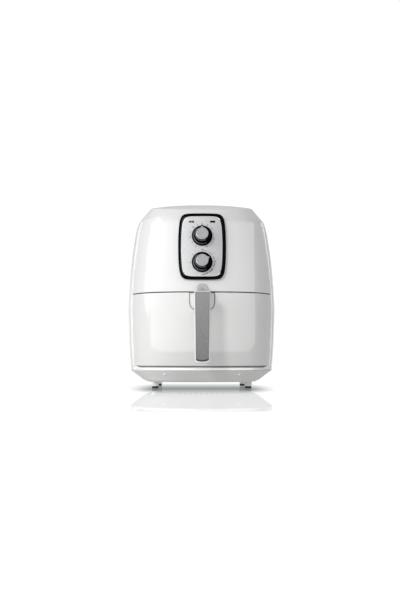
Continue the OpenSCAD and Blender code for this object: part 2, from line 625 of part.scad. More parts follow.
module handle_base() {
  color("white") place() difference() {
    union() {
      notch_cut(0.7, -167.8, -147, 186.3);
      translate([-13.5, grip_y + 12.1, 160]) cube([27, -grip_y - 12.1 - 160, 26.3]);
    }
    translate([-9, -196, 172]) cube([18, 17, 20]);               // button well
    translate([0, grip_y + 5, 168]) rotate([-90, 0, 0]) cylinder(r = 1.6, h = 20);
    translate([-17.6, -158.4, 169.6]) cube([35.2, 20, 2.8]);     // bracket slot
  }
}
module release_button() {
  color("gray") place() {
    translate([-8, -195, 184]) cube([16, 15, 8]);
    translate([0, -187.5, 178.6]) cylinder(r = 2.4, h = 6);
  }
}
module release_spring() {
  n = 70;
  color("silver") place() translate([0, -187.5, 0])
    sweep([for (i = [0 : n]) [4.2 * cos(360 * 4 * i / n), 4.2 * sin(360 * 4 * i / n), 172.6 + 10.8 * i / n]], 0.5, 6);
}
function arch(w, h, r) = concat([[w, 0]], [for (i = [0 : 18]) let (a = 10 * i) [w * sp(cos(a), 0.8), h - r + r * sp(sin(a), 0.9)]], [[-w, 0]]);
module button_guard() {
  color("lightgray") place() translate([0, 0, 186.8]) difference() {
    upright(-203, -176) polygon(arch(11.3, 14.5, 10));
    upright(-201.6, -170) translate([0, -1]) polygon(arch(9.9, 14.3, 10));
  }
}

housing_shell();
front_shell();
top_cover();
base_skirt();
bottom_plate();
front_trim();
foot_stems();
rubber_feet();
base_plugs();
base_screws();
cavity_liner();
drawer_rails();
air_shroud();
exhaust_duct();
heating_element();
heater_clips();
heater_guard();
convection_fan();
motor_shaft();
cooling_fan();
fan_motor();
motor_bracket();
motor_screws();
panel_bezel();
panel_plate();
panel_carrier();
power_lamp();
heat_lamp();
lamp_board();
timer_unit();
timer_bell();
timer_shaft();
timer_knob();
timer_knob_cap();
thermostat_unit();
thermostat_bulb();
thermostat_shaft();
temp_knob();
temp_knob_cap();
interlock_switch();
interlock_plunger();
terminal_block();
rear_vent_grille();
rear_spacers();
rear_screws();
cord_inlet_bush();
drawer_front();
drawer_inner_frame();
pan();
basket();
basket_bumpers();
basket_bracket();
handle_base();
handle_grip();
handle_back();
handle_insert();
handle_screws();
release_button();
release_spring();
button_guard();
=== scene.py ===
import math

import bmesh
import bpy
import numpy as np
from mathutils import Matrix, Vector
from mathutils.geometry import delaunay_2d_cdt


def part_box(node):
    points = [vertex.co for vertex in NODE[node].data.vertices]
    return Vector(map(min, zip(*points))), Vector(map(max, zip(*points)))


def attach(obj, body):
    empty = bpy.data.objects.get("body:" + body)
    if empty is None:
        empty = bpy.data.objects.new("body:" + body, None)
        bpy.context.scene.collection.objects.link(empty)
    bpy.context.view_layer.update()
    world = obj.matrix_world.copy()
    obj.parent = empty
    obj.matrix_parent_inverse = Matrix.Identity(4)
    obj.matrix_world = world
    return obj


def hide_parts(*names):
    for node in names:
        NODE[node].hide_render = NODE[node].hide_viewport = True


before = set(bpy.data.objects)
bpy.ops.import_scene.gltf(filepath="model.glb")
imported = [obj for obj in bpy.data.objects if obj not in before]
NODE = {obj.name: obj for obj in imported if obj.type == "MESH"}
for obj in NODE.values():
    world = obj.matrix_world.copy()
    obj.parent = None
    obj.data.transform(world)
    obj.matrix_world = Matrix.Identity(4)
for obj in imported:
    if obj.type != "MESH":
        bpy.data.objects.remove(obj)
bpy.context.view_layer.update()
MM = 0.001
YS = round(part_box("handle_grip")[0].y * 1000 + 220.0, 3)      # the row frame lies this far behind the body's own middle
TOP = round(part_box("top_cover")[1].z * 1000, 3)

# ------------------------------------------------------------------ camera
D2R = math.pi / 180
cam_data = bpy.data.cameras.new("camera")
cam_data.sensor_width = 36.0
cam_data.lens = 65.52
cam_data.clip_start, cam_data.clip_end = 0.05, 60
cam = bpy.data.objects.new("camera", cam_data)
bpy.context.scene.collection.objects.link(cam)
cam.location = (-0.024, (-2265 + YS) * MM, 0.068)
yaw, pitch = 0.543 * D2R, 2.83 * D2R
look = Vector((math.sin(yaw) * math.cos(pitch), math.cos(yaw) * math.cos(pitch), math.sin(pitch)))
cam.rotation_mode = "QUATERNION"
cam.rotation_quaternion = look.to_track_quat("-Z", "Y")
bpy.context.scene.camera = cam
bpy.context.scene.view_settings.view_transform = "Standard"

# ------------------------------------------------------------------ the body's form
HW = [(36, 145), (60, 147.1), (90, 149.1), (125, 150.3), (160, 151.2), (200, 149.1), (235, 146.1),
      (267, 142.3), (300, 137.4), (316, 134.5), (326, 132), (336, 128.7), (342, 126.2)]
HF = [(36, 158.5), (45, 160.5), (80, 165.5), (120, 168), (165, 169), (187, 168.6), (210, 167.2),
      (274, 161.6), (320, 155.5), (336, 152.5), (342, 151)]
HB = [(36, 148), (60, 153), (120, 158), (170, 160), (250, 156), (300, 148), (336, 137), (342, 134.5)]
BOT = (113.5, 134, 128)
N_FRONT, N_REAR = 2.6, 3.2
SEAM, D_TOP, D_BOT, T_TOP, SK_TOP, FOOT = 188.0, 186.4, 44.8, 42.2, 36.0, 13.0
WRAP = 23.5


def crv(T, z):
    z = np.asarray(z, float)
    zs, vs = np.array([p[0] for p in T], float), np.array([p[1] for p in T], float)
    n = len(T)
    m = np.empty(n)
    m[1:-1] = (vs[2:] - vs[:-2]) / (zs[2:] - zs[:-2])
    m[0], m[-1] = (vs[1] - vs[0]) / (zs[1] - zs[0]), (vs[-1] - vs[-2]) / (zs[-1] - zs[-2])
    i = np.clip(np.searchsorted(zs, z, side="right") - 1, 0, n - 2)
    h = zs[i + 1] - zs[i]
    t = (z - zs[i]) / h
    return ((2 * t**3 - 3 * t**2 + 1) * vs[i] + (t**3 - 2 * t**2 + t) * h * m[i]
            + (3 * t**2 - 2 * t**3) * vs[i + 1] + (t**3 - t**2) * h * m[i + 1])


def sp(v, e):
    return np.sign(v) * np.abs(v) ** e


def smooth(a, b, v):
    t = np.clip((np.asarray(v, float) - a) / (b - a), 0, 1)
    return t * t * (3 - 2 * t)


def S(th, z, off=0.0):
    """A point of the outline at angle th (degrees, -90 the front middle) and height z."""
    th, z, off = np.broadcast_arrays(np.asarray(th, float), np.asarray(z, float), np.asarray(off, float))
    c, s = np.cos(th * D2R), np.sin(th * D2R)
    n = np.where(s < 0, N_FRONT, N_REAR)
    a = crv(HW, z) + off
    b = np.where(s < 0, crv(HF, z), crv(HB, z)) + off
    return np.stack([a * sp(c, 2 / n), b * sp(s, 2 / n), z], -1)


def F(th, z, off=0.0):
    c = np.abs(np.cos(np.asarray(th, float) * D2R)) ** (2 / N_FRONT)
    return S(th, z, off - 2.4 * smooth(0.6, 0.9, c))


def B(th, off=0.0):
    th = np.asarray(th, float)
    c, s = np.cos(th * D2R), np.sin(th * D2R)
    d = np.where(s < 0, BOT[1], BOT[2]) + off
    return np.stack([(BOT[0] + off) * sp(c, 2 / N_REAR), d * sp(s, 2 / N_REAR), np.full_like(c, FOOT)], -1)


def zc(th):
    s = np.sin(np.asarray(th, float) * D2R)
    return 334.7 + 5.8 * np.where(s < 0, np.abs(s) ** 1.8, 0) + 1.7 * smooth(-23.5, 0, np.degrees(np.arcsin(np.clip(s, -1, 1))))


def rise(s, th):
    """How far up, from the crease (0) to the flat of the top (1), at fraction s of the way out."""
    w = np.abs(np.cos(np.asarray(th, float) * D2R)) ** 1.55
    c = np.maximum((1 - s) * (5.8 - 1.5 * w), 1e-6)
    d = 1 - (0.6 - 0.443 * w) * (s / (0.883 - 0.137 * w)) ** 2.4
    return (c**-26.0 + d**-26.0) ** (-1 / 26.0)


def fy(x, z, off=0.0):
    a, b = crv(HW, z) + off, crv(HF, z) + off
    u = np.clip(np.abs(x) / a, 0, 1)
    return -b * (1 - u**N_FRONT) ** (1 / N_FRONT)


def face_y(x, z, off=0.0):
    """Depth of the front faces at x, with the sink near the wrap-round shell."""
    u = np.clip(np.abs(x) / crv(HW, z), 0, 1)
    return fy(x, z, off - 2.4 * smooth(0.6, 0.9, u))


def dense():
    k = np.linspace(0, 1, 240) ** 2.2 * 45
    return np.unique(np.concatenate([c + sgn * k for c in (-180, -90, 0, 90, 180, 270) for sgn in (-1, 1)]))


def thetas(t0, t1, n, z=190.0, ends=()):
    """Angles between t0 and t1, evenly spaced along the outline, with extra ones at the distances `ends` from both ends."""
    d = dense()
    d = np.concatenate([[t0], d[(d > t0) & (d < t1)], [t1]])
    p = S(d, z)[:, :2]
    s = np.concatenate([[0], np.cumsum(np.linalg.norm(np.diff(p, axis=0), axis=1))])
    lo = max(ends) if len(ends) else 0
    at = np.concatenate([sorted(ends), np.linspace(lo, s[-1] - lo, n)[1 if len(ends) else 0:(-1 if len(ends) else None)],
                         sorted(s[-1] - np.array(ends)) if len(ends) else []])
    return np.interp(at, s, d)


def round_steps(r, k=5):
    """(distance from the edge, drop) along a quarter round of radius r, from the edge inwards."""
    return [(r * (1 - math.sin(a)), r * (1 - math.cos(a))) for a in [math.pi / 2 * (1 - i / k) for i in range(k + 1)]]


# ------------------------------------------------------------------ mesh helpers
def mesh(name, verts, faces, material, body, node=None, shade=True, shifted=True, replaces=()):
    v = np.asarray(verts, float).reshape(-1, 3).copy()
    if shifted:
        v[:, 1] += YS
    me = bpy.data.meshes.new(name)
    me.from_pydata((v * MM).tolist(), [], [tuple(int(i) for i in f) for f in faces])
    me.validate()
    bm = bmesh.new()
    bm.from_mesh(me)
    bmesh.ops.delete(bm, geom=[x for x in bm.verts if not x.link_faces], context="VERTS")
    bm.to_mesh(me)
    bm.free()
    me.polygons.foreach_set("use_smooth", [shade] * len(me.polygons))
    ob = bpy.data.objects.new(name, me)
    bpy.context.scene.collection.objects.link(ob)
    me.materials.append(material)
    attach(ob, body)
    for n in ([node] if node else []) + list(replaces):
        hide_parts(n)
    return ob


def grid_faces(m, n, base=0, wrap=False, flip=False):
    out = []
    for i in range(m - 1):
        for j in range(n if wrap else n - 1):
            a, b = base + i * n + j, base + i * n + (j + 1) % n
            q = (a, b, b + n, a + n)
            out.append(q[::-1] if flip else q)
    return out


def thicken(vo, faces, vi):
    """Closes an open sheet with its inner copy."""
    n = len(vo)
    used = {(a, b) for f in faces for a, b in zip(f, list(f[1:]) + [f[0]])}
    side = [(b, a, a + n, b + n) for a, b in used if (b, a) not in used]
    return np.concatenate([vo, vi]), list(faces) + [tuple(i + n for i in reversed(f)) for f in faces] + side


def rings(rows, cap0=True, cap1=True, wrap=True):
    """A closed body through a list of closed rings of equal length, each (n, 3)."""
    n = len(rows[0])
    v = np.concatenate(rows)
    f = grid_faces(len(rows), n, wrap=wrap)
    if cap0:
        f.append(tuple(range(n))[::-1])
    if cap1:
        f.append(tuple(range((len(rows) - 1) * n, len(rows) * n)))
    return v, f


def lathe(profile, n=96, rib=None):
    """Rings of a turned shape about +Z from (r, z) pairs; rib(angle, z, r) changes a radius."""
    a = np.linspace(0, 2 * math.pi, n, endpoint=False)
    rows = []
    for r, z in profile:
        rr = np.full(n, float(r)) if rib is None else rib(a, z, float(r))
        rows.append(np.stack([rr * np.cos(a), rr * np.sin(a), np.full(n, float(z))], -1))
    return rows


def oval(a, b, n=8, k=320):
    """The panel's barrel outline: a squared oval whose long sides bow out a little, evenly sampled, anticlockwise."""
    v = np.linspace(0, 1, 160) ** (n / 2)
    q = np.unique(np.concatenate([np.arcsin(v), np.arccos(v)]))
    t = np.concatenate([q + i * math.pi / 2 for i in range(4)])
    x, y = sp(np.cos(t), 2 / n), sp(np.sin(t), 2 / n)
    p = np.stack([a * x * (1 - 0.08 * y * y), b * y * (1 - 0.015 * x * x)], -1)
    p = p[np.linalg.norm(p - np.roll(p, 1, 0), axis=1) > 1e-5]
    return even(p, k)


def even(poly, k, start=0.0):
    """Resamples a closed 2-D outline at k evenly spaced points."""
    p = np.concatenate([poly, poly[:1]])
    s = np.concatenate([[0], np.cumsum(np.linalg.norm(np.diff(p, axis=0), axis=1))])
    at = np.linspace(0, s[-1], k, endpoint=False) + start
    return np.stack([np.interp(at, s, p[:, 0]), np.interp(at, s, p[:, 1])], -1)


def round_poly(pts, radii, k=8):
    """Rounds each corner of a closed polygon."""
    out = []
    n = len(pts)
    for i in range(n):
        p, a, b = (np.array(pts[j], float) for j in (i, i - 1, (i + 1) % n))
        u, v = (a - p) / np.linalg.norm(a - p), (b - p) / np.linalg.norm(b - p)
        ang = math.acos(max(-1, min(1, float(u @ v))))
        r = radii[i]
        if r <= 0 or abs(ang - math.pi) < 1e-3:
            out.append(p)
            continue
        t = r / math.tan(ang / 2)
        c = p + (u + v) / np.linalg.norm(u + v) * r / math.sin(ang / 2)
        s0, s1 = p + u * t - c, p + v * t - c
        a0, a1 = math.atan2(s0[1], s0[0]), math.atan2(s1[1], s1[0])
        while a1 - a0 > math.pi:
            a1 -= 2 * math.pi
        while a1 - a0 < -math.pi:
            a1 += 2 * math.pi
        for j in range(k + 1):
            w = a0 + (a1 - a0) * j / k
            out.append(c + r * np.array([math.cos(w), math.sin(w)]))
    return np.array(out)


def inset(poly, c):
    """Moves an outline inwards by c (it runs anticlockwise)."""
    nx, pv = np.roll(poly, -1, 0), np.roll(poly, 1, 0)
    t = nx - pv
    t = t / np.maximum(np.linalg.norm(t, axis=1, keepdims=True), 1e-9)
    return poly + c * np.stack([-t[:, 1], t[:, 0]], -1)


def upright(poly, y):
    """A ring in the x-z plane at depth y."""
    return np.stack([poly[:, 0], np.full(len(poly), float(y)), poly[:, 1]], -1)


def modifier_apply(ob):
    dg = bpy.context.evaluated_depsgraph_get()
    me = bpy.data.meshes.new_from_object(ob.evaluated_get(dg))
    old = ob.data
    ob.modifiers.clear()
    ob.data = me
    bpy.data.meshes.remove(old)


def cut_boxes(ob, boxes):
    for lo, hi in boxes:
        me = bpy.data.meshes.new("cut")
        bm = bmesh.new()
        bmesh.ops.create_cube(bm, size=1)
        for v in bm.verts:
            v.co = Vector([(lo[i] if v.co[i] < 0 else hi[i]) * MM for i in range(3)])
            v.co.y += YS * MM
        bm.to_mesh(me)
        bm.free()
        c = bpy.data.objects.new("cut", me)
        bpy.context.scene.collection.objects.link(c)
        m = ob.modifiers.new("cut", "BOOLEAN")
        m.operation, m.solver, m.object = "DIFFERENCE", "EXACT", c
        bpy.context.view_layer.update()
        modifier_apply(ob)
        bpy.data.objects.remove(c)
        bpy.data.meshes.remove(me)


# ------------------------------------------------------------------ materials
def nodes_of(name):
    m = bpy.data.materials.new(name)
    m.use_nodes = True
    t = m.node_tree
    b = next(n for n in t.nodes if n.type == "BSDF_PRINCIPLED")
    return m, t, b


def coords(t, scale=(1, 1, 1), kind="Object"):
    tc = t.nodes.new("ShaderNodeTexCoord")
    mp = t.nodes.new("ShaderNodeMapping")
    mp.inputs["Scale"].default_value = scale
    t.links.new(tc.outputs[kind], mp.inputs["Vector"])
    return mp.outputs["Vector"]


def noise(t, vec, scale, detail=3.0, rough=0.55):
    n = t.nodes.new("ShaderNodeTexNoise")
    n.inputs["Scale"].default_value = scale
    n.inputs["Detail"].default_value = detail
    n.inputs["Roughness"].default_value = rough
    t.links.new(vec, n.inputs["Vector"])
    return n.outputs["Fac"]


def ramp(t, fac, stops):
    r = t.nodes.new("ShaderNodeValToRGB")
    e = r.color_ramp.elements
    while len(e) < len(stops):
        e.new(0.5)
    for el, (pos, col) in zip(e, stops):
        el.position = pos
        el.color = (*col, 1) if len(col) == 3 else col
    t.links.new(fac, r.inputs["Fac"])
    return r.outputs["Color"]


def span(t, fac, lo, hi, a=0.3, b=0.7):
    m = t.nodes.new("ShaderNodeMapRange")
    m.inputs["From Min"].default_value, m.inputs["From Max"].default_value = a, b
    m.inputs["To Min"].default_value, m.inputs["To Max"].default_value = lo, hi
    t.links.new(fac, m.inputs["Value"])
    return m.outputs["Result"]


def bump(t, b, height, strength=0.2, distance=0.0001, into=None):
    n = t.nodes.new("ShaderNodeBump")
    n.inputs["Strength"].default_value = strength
    n.inputs["Distance"].default_value = distance
    t.links.new(height, n.inputs["Height"])
    if into is not None:
        t.links.new(into, n.inputs["Normal"])
    t.links.new(n.outputs["Normal"], b.inputs["Normal"])
    return n.outputs["Normal"]


def setp(b, **kw):
    names = {"metal": "Metallic", "rough": "Roughness", "coat": "Coat Weight", "coat_rough": "Coat Roughness",
             "coat_ior": "Coat IOR", "ior": "IOR", "spec": "Specular IOR Level", "aniso": "Anisotropic",
             "trans": "Transmission Weight", "sheen": "Sheen Weight", "alpha": "Alpha", "sub": "Subsurface Weight"}
    for k, v in kw.items():
        b.inputs[names[k]].default_value = v


def moulded(name, col, rough=(0.26, 0.34), coat=0.0, coat_rough=0.04, coat_ior=1.5, grain=700, depth=0.00002, strength=0.15,
            tint=0.012, spec=0.5):
    """Moulded plastic: a slow drift of tone, uneven gloss and a fine surface."""
    m, t, b = nodes_of(name)
    v = coords(t)
    slow = noise(t, v, 9, 2)
    c = [max(0, x * (1 - tint)) for x in col], [min(1, x * (1 + tint)) for x in col]
    t.links.new(ramp(t, slow, [(0.3, c[0]), (0.7, c[1])]), b.inputs["Base Color"])
    t.links.new(span(t, noise(t, v, 60, 4), *rough), b.inputs["Roughness"])
    setp(b, coat=coat, coat_rough=coat_rough, coat_ior=coat_ior, spec=spec)
    bump(t, b, noise(t, v, grain, 2), strength, depth)
    return m


def brushed(name, col, along=(1, 1, 1), rough=(0.3, 0.42), metal=1.0, spread=0.12, strength=0.12, aniso=0.0, scale=40, coat=0.0,
            kind="Object", line=0.00001):
    """Metal or foil with fine lines along one direction: a small scale in `along` stretches the lines that way."""
    m, t, b = nodes_of(name)
    v = coords(t, along, kind)
    fine = noise(t, v, scale, 5, 0.7)
    c = [x * (1 - spread) for x in col], [min(1, x * (1 + spread)) for x in col]
    t.links.new(ramp(t, fine, [(0.3, c[0]), (0.7, c[1])]), b.inputs["Base Color"])
    t.links.new(span(t, fine, *rough), b.inputs["Roughness"])
    setp(b, metal=metal, aniso=aniso, coat=coat)
    bump(t, b, fine, strength, line)
    return m


M = {}
M["white"] = moulded("white_gloss", (0.80, 0.80, 0.795), rough=(0.32, 0.42), coat=1.0, coat_rough=0.012, coat_ior=1.7, grain=420,
                     depth=0.00001, strength=0.1)
# a slightly darker copy of the white for the drawer front: painted shade
M["white_d"] = moulded("drawer_white_gloss_painted_shade", (0.772, 0.772, 0.766), rough=(0.32, 0.42), coat=1.0, coat_rough=0.012, coat_ior=1.7, grain=420,
                       depth=0.00001, strength=0.1)
# a slightly darker copy of the white for the top: painted shade
M["white_t"] = moulded("top_white_gloss_painted_shade", (0.785, 0.785, 0.785), rough=(0.32, 0.42), coat=1.0, coat_rough=0.012, coat_ior=1.7, grain=420,
                       depth=0.00001, strength=0.1)
# a brighter, slightly metallic copy of the white for the shell's noses, the lower trim strip and the base plugs:
# painted highlight
M["lip"] = moulded("white_lip_painted_highlight", (0.93, 0.93, 0.92), rough=(0.16, 0.24), coat=1.0, coat_rough=0.02, coat_ior=1.7, grain=420,
                   depth=0.00001, strength=0.08)
setp(next(n_ for n_ in M["lip"].node_tree.nodes if n_.type == "BSDF_PRINCIPLED"), metal=0.1)
M["white2"] = moulded("white_satin", (0.80, 0.80, 0.79), rough=(0.3, 0.38), coat=0.5, coat_rough=0.12, grain=900)
M["base"] = moulded("base_grey", (0.80, 0.80, 0.79), rough=(0.42, 0.55), grain=1600, depth=0.00004, strength=0.35, tint=0.02)
M["inner"] = moulded("inner_grey", (0.52, 0.52, 0.515), rough=(0.45, 0.6), grain=1500, depth=0.00004, strength=0.3, tint=0.02)
M["piano"] = moulded("piano_black", (0.0015, 0.0015, 0.002), rough=(0.12, 0.2), coat=0.03, coat_rough=0.02, grain=300,
                     depth=0.000008, strength=0.05, tint=0.2, spec=0.012)
# a grey copy of the piano black for the rim's inner slope on the left: painted sheen
M["piano_sheen"] = moulded("piano_black_painted_sheen", (0.055, 0.056, 0.058), rough=(0.2, 0.3), coat=0.03, coat_rough=0.02, grain=300,
                           depth=0.000008, strength=0.05, tint=0.2, spec=0.1)
M["knob"] = moulded("knob_black", (0.002, 0.002, 0.0025), rough=(0.35, 0.5), coat=0.0, grain=1800,
                    depth=0.00003, strength=0.25, tint=0.2, spec=0.004)
# brighter glossy copies of the knob black for bands that lean to the left and down: painted highlights
M["knob_edge"] = moulded("knob_edge_black", (0.21, 0.21, 0.215), rough=(0.2, 0.3), coat=0.9, coat_rough=0.08, grain=1200,
                         depth=0.00002, strength=0.15, tint=0.2, spec=0.5)
M["knob_sheen"] = moulded("knob_sheen_black", (0.11, 0.11, 0.113), rough=(0.25, 0.35), coat=0.7, coat_rough=0.12, grain=1200,
                          depth=0.00002, strength=0.15, tint=0.2, spec=0.3)
M["black"] = moulded("black_matt", (0.02, 0.02, 0.022), rough=(0.45, 0.6), grain=1800, depth=0.00004, strength=0.3, tint=0.2)
M["rubber"] = moulded("rubber", (0.022, 0.022, 0.023), rough=(0.6, 0.8), grain=1500, depth=0.00008, strength=0.5, tint=0.25, spec=0.3)
M["grey"] = moulded("grey_moulding", (0.30, 0.305, 0.31), rough=(0.38, 0.5), grain=1500, depth=0.00003, strength=0.25, tint=0.03)
# a brighter turned metal for the caps' edge where it leans to the left and down: painted highlight
M["cap_edge"] = brushed("cap_turned_edge_painted_highlight", (0.60, 0.605, 0.615), (60, 60, 60), (0.3, 0.4), metal=0.9, spread=0.05, scale=20, strength=0.04)
# a bright metal for the panel's inner line; on the caps' edge it is a painted highlight
M["bright"] = brushed("bright_line", (0.85, 0.85, 0.86), (60, 60, 60), (0.16, 0.22), metal=0.9, spread=0.03, scale=20, strength=0.04)
M["steel"] = brushed("plated_steel", (0.52, 0.53, 0.54), (60, 60, 60), (0.28, 0.42), metal=1.0, spread=0.1, scale=30, strength=0.1)
M["wire"] = brushed("plated_wire", (0.60, 0.60, 0.60), (60, 60, 60), (0.18, 0.3), metal=1.0, spread=0.06, scale=30, strength=0.06)
M["alu"] = brushed("pressed_aluminium", (0.66, 0.67, 0.68), (30, 30, 120), (0.3, 0.45), metal=1.0, spread=0.08, scale=14, strength=0.1)
M["copper"] = brushed("copper_tube", (0.62, 0.33, 0.20), (60, 60, 60), (0.25, 0.4), metal=1.0, spread=0.15, scale=22, strength=0.08)


def brushed_sheet(name, lo, hi, fine_scale, streak_scale, fine, streak, rough, metal, across=None, axis="X"):
    """Brushed metal sheet: fine lines one way, broader cloudy streaks, and an optional slow change of tone between two
    places (on the panel plate, painted light).
    """
    m, t, b = nodes_of(name)
    n1 = noise(t, coords(t, fine_scale), 1.0, 4, 0.65)
    n2 = noise(t, coords(t, streak_scale), 1.0, 3, 0.6)
    a = t.nodes.new("ShaderNodeMath")
    a.operation = "MULTIPLY_ADD"
    t.links.new(n1, a.inputs[0])
    a.inputs[1].default_value = fine
    c = t.nodes.new("ShaderNodeMath")
    c.operation = "MULTIPLY"
    t.links.new(n2, c.inputs[0])
    c.inputs[1].default_value = streak
    t.links.new(c.outputs["Value"], a.inputs[2])
    tone = a.outputs["Value"]                # about (fine + streak) / 2 on average
    mid = (fine + streak) / 2
    if across:
        sp_ = t.nodes.new("ShaderNodeSeparateXYZ")
        t.links.new(coords(t), sp_.inputs["Vector"])
        g = span(t, sp_.outputs[axis], -0.5, 0.5, *across)
        ad = t.nodes.new("ShaderNodeMath")
        ad.operation = "ADD"
        t.links.new(g, ad.inputs[0])
        t.links.new(tone, ad.inputs[1])
        tone = ad.outputs["Value"]
    t.links.new(ramp(t, span(t, tone, 0.0, 1.0, mid - 0.5, mid + 0.5), [(0.0, lo), (1.0, hi)]), b.inputs["Base Color"])
    t.links.new(span(t, n1, *rough), b.inputs["Roughness"])
    setp(b, metal=metal)
    bump(t, b, n1, 0.12, 0.00001)
    return m


def special_materials():
    # the plate's ramp of tone is painted light: lighter to the left, darker to the right
    M["plate"] = brushed_sheet("brushed_plate", (0.79, 0.795, 0.805), (0.485, 0.485, 0.505), (160, 2600, 2600), (330, 420, 420), 0.35, 0.9,
                               (0.40, 0.55), 0.25, across=(-0.05, 0.036))
    M["insert"] = brushed_sheet("brushed_insert", (0.165, 0.165, 0.165), (0.28, 0.28, 0.282), (3000, 3000, 120), (420, 420, 230), 0.5, 1.1,
                                (0.42, 0.56), 0.3, across=(0.03, 0.20), axis="Z")
    M["cap"] = brushed_sheet("brushed_cap", (0.25, 0.255, 0.265), (0.40, 0.41, 0.42), (2400, 900, 2400), (360, 300, 360), 0.4, 1.2,
                             (0.32, 0.44), 0.55)
    # galvanised sheet with its crystals
    m, t, b = nodes_of("galvanised_sheet")
    v = coords(t)
    vo = t.nodes.new("ShaderNodeTexVoronoi")
    vo.inputs["Scale"].default_value = 130
    t.links.new(v, vo.inputs["Vector"])
    bw = t.nodes.new("ShaderNodeRGBToBW")
    t.links.new(vo.outputs["Color"], bw.inputs["Color"])
    t.links.new(ramp(t, bw.outputs["Val"], [(0.2, (0.46, 0.47, 0.48)), (0.8, (0.62, 0.63, 0.64))]), b.inputs["Base Color"])
    t.links.new(span(t, bw.outputs["Val"], 0.3, 0.48, 0.2, 0.8), b.inputs["Roughness"])
    setp(b, metal=1.0)
    bump(t, b, noise(t, v, 300, 3), 0.08, 0.00002)
    M["zinc"] = m
    # heat-darkened heater sheath
    m, t, b = nodes_of("heater_sheath")
    v = coords(t)
    t.links.new(ramp(t, noise(t, v, 40, 4), [(0.3, (0.09, 0.075, 0.065)), (0.55, (0.20, 0.17, 0.15)), (0.75, (0.26, 0.2, 0.15))]), b.inputs["Base Color"])
    t.links.new(span(t, noise(t, v, 220, 3), 0.45, 0.65), b.inputs["Roughness"])
    setp(b, metal=0.8)
    bump(t, b, noise(t, v, 700, 3), 0.2, 0.00003)
    M["heater"] = m
    # dark non-stick coating with fine speckle
    m, t, b = nodes_of("non_stick")
    v = coords(t)
    sp1 = noise(t, v, 1500, 2, 0.4)
    t.links.new(ramp(t, sp1, [(0.0, (0.018, 0.018, 0.019)), (0.66, (0.024, 0.024, 0.025)), (0.74, (0.075, 0.075, 0.078))]), b.inputs["Base Color"])
    t.links.new(span(t, noise(t, v, 90, 4), 0.3, 0.44), b.inputs["Roughness"])
    setp(b, spec=0.5, coat=0.15, coat_rough=0.25)
    bump(t, b, noise(t, v, 600, 3), 0.18, 0.00004)
    M["nonstick"] = m
    # laminated iron of the motor
    m, t, b = nodes_of("laminated_iron")
    v = coords(t)
    w = t.nodes.new("ShaderNodeTexWave")
    w.wave_type, w.bands_direction = "BANDS", "Z"
    w.inputs["Scale"].default_value = 320
    w.inputs["Distortion"].default_value = 0.3
    t.links.new(v, w.inputs["Vector"])
    t.links.new(ramp(t, w.outputs["Fac"], [(0.2, (0.10, 0.10, 0.105)), (0.8, (0.30, 0.30, 0.31))]), b.inputs["Base Color"])
    t.links.new(span(t, noise(t, v, 200), 0.35, 0.55), b.inputs["Roughness"])
    setp(b, metal=0.7)
    bump(t, b, w.outputs["Fac"], 0.4, 0.00015)
    M["iron"] = m
    # circuit board
    m, t, b = nodes_of("board")
    v = coords(t, (1, 1, 1))
    br = t.nodes.new("ShaderNodeTexBrick")
    br.inputs["Scale"].default_value = 260
    br.inputs["Color1"].default_value = (0.01, 0.10, 0.035, 1)
    br.inputs["Color2"].default_value = (0.012, 0.13, 0.045, 1)
    br.inputs["Mortar"].default_value = (0.02, 0.2, 0.07, 1)
    t.links.new(v, br.inputs["Vector"])
    t.links.new(br.outputs["Color"], b.inputs["Base Color"])
    setp(b, rough=0.35, coat=0.6, coat_rough=0.1)
    M["board"] = m
    # unglazed ceramic
    M["ceramic"] = moulded("ceramic", (0.74, 0.72, 0.66), rough=(0.5, 0.7), grain=900, depth=0.00008, strength=0.4, tint=0.05)
    # dark lamp windows
    for key, c0, c1 in (("lamp_l", (0.075, 0.074, 0.076), (0.12, 0.118, 0.12)), ("lamp_r", (0.004, 0.004, 0.0045), (0.009, 0.009, 0.009))):
        m, t, b = nodes_of("lens_" + key)
        v = coords(t)
        if key == "lamp_l":       # two dark halves with a paler divider
            sx = t.nodes.new("ShaderNodeSeparateXYZ")
            t.links.new(v, sx.inputs["Vector"])
            ax_ = t.nodes.new("ShaderNodeMath")
            ax_.operation = "ADD"
            ax_.inputs[1].default_value = 0.0204
            t.links.new(sx.outputs["X"], ax_.inputs[0])
            ab_ = t.nodes.new("ShaderNodeMath")
            ab_.operation = "ABSOLUTE"
            t.links.new(ax_.outputs["Value"], ab_.inputs[0])
            t.links.new(ramp(t, span(t, ab_.outputs["Value"], 0.0, 1.0, 0.0, 0.0045), [(0.16, (0.30, 0.29, 0.29)), (0.3, c1), (0.9, c0)]), b.inputs["Base Color"])
        else:
            t.links.new(ramp(t, noise(t, v, 400, 1), [(0.3, c0), (0.7, c1)]), b.inputs["Base Color"])
        t.links.new(span(t, noise(t, v, 300), 0.2, 0.3), b.inputs["Roughness"])
        setp(b, coat=0.2 if key == "lamp_l" else 0.0, coat_rough=0.05, spec=0.2 if key == "lamp_l" else 0.05)
        M[key] = m
    # smoky guard over the button
    m, t, b = nodes_of("smoky_guard")
    v = coords(t)
    t.links.new(ramp(t, noise(t, v, 60, 3), [(0.3, (0.50, 0.505, 0.51)), (0.7, (0.56, 0.565, 0.57))]), b.inputs["Base Color"])
    t.links.new(span(t, noise(t, v, 400, 3), 0.16, 0.26), b.inputs["Roughness"])
    setp(b, trans=0.10, ior=1.45, coat=0.6, coat_rough=0.06)
    bump(t, b, noise(t, v, 900, 2), 0.08, 0.00002)
    M["smoky"] = m
    # printed ink
    m, t, b = nodes_of("ink")
    v = coords(t)
    t.links.new(ramp(t, noise(t, v, 2500, 2), [(0.3, (0.02, 0.02, 0.024)), (0.7, (0.04, 0.04, 0.046))]), b.inputs["Base Color"])
    t.links.new(span(t, noise(t, v, 800), 0.5, 0.65), b.inputs["Roughness"])
    M["ink"] = m


special_materials()

# ------------------------------------------------------------------ outer shells


NOSE = 17


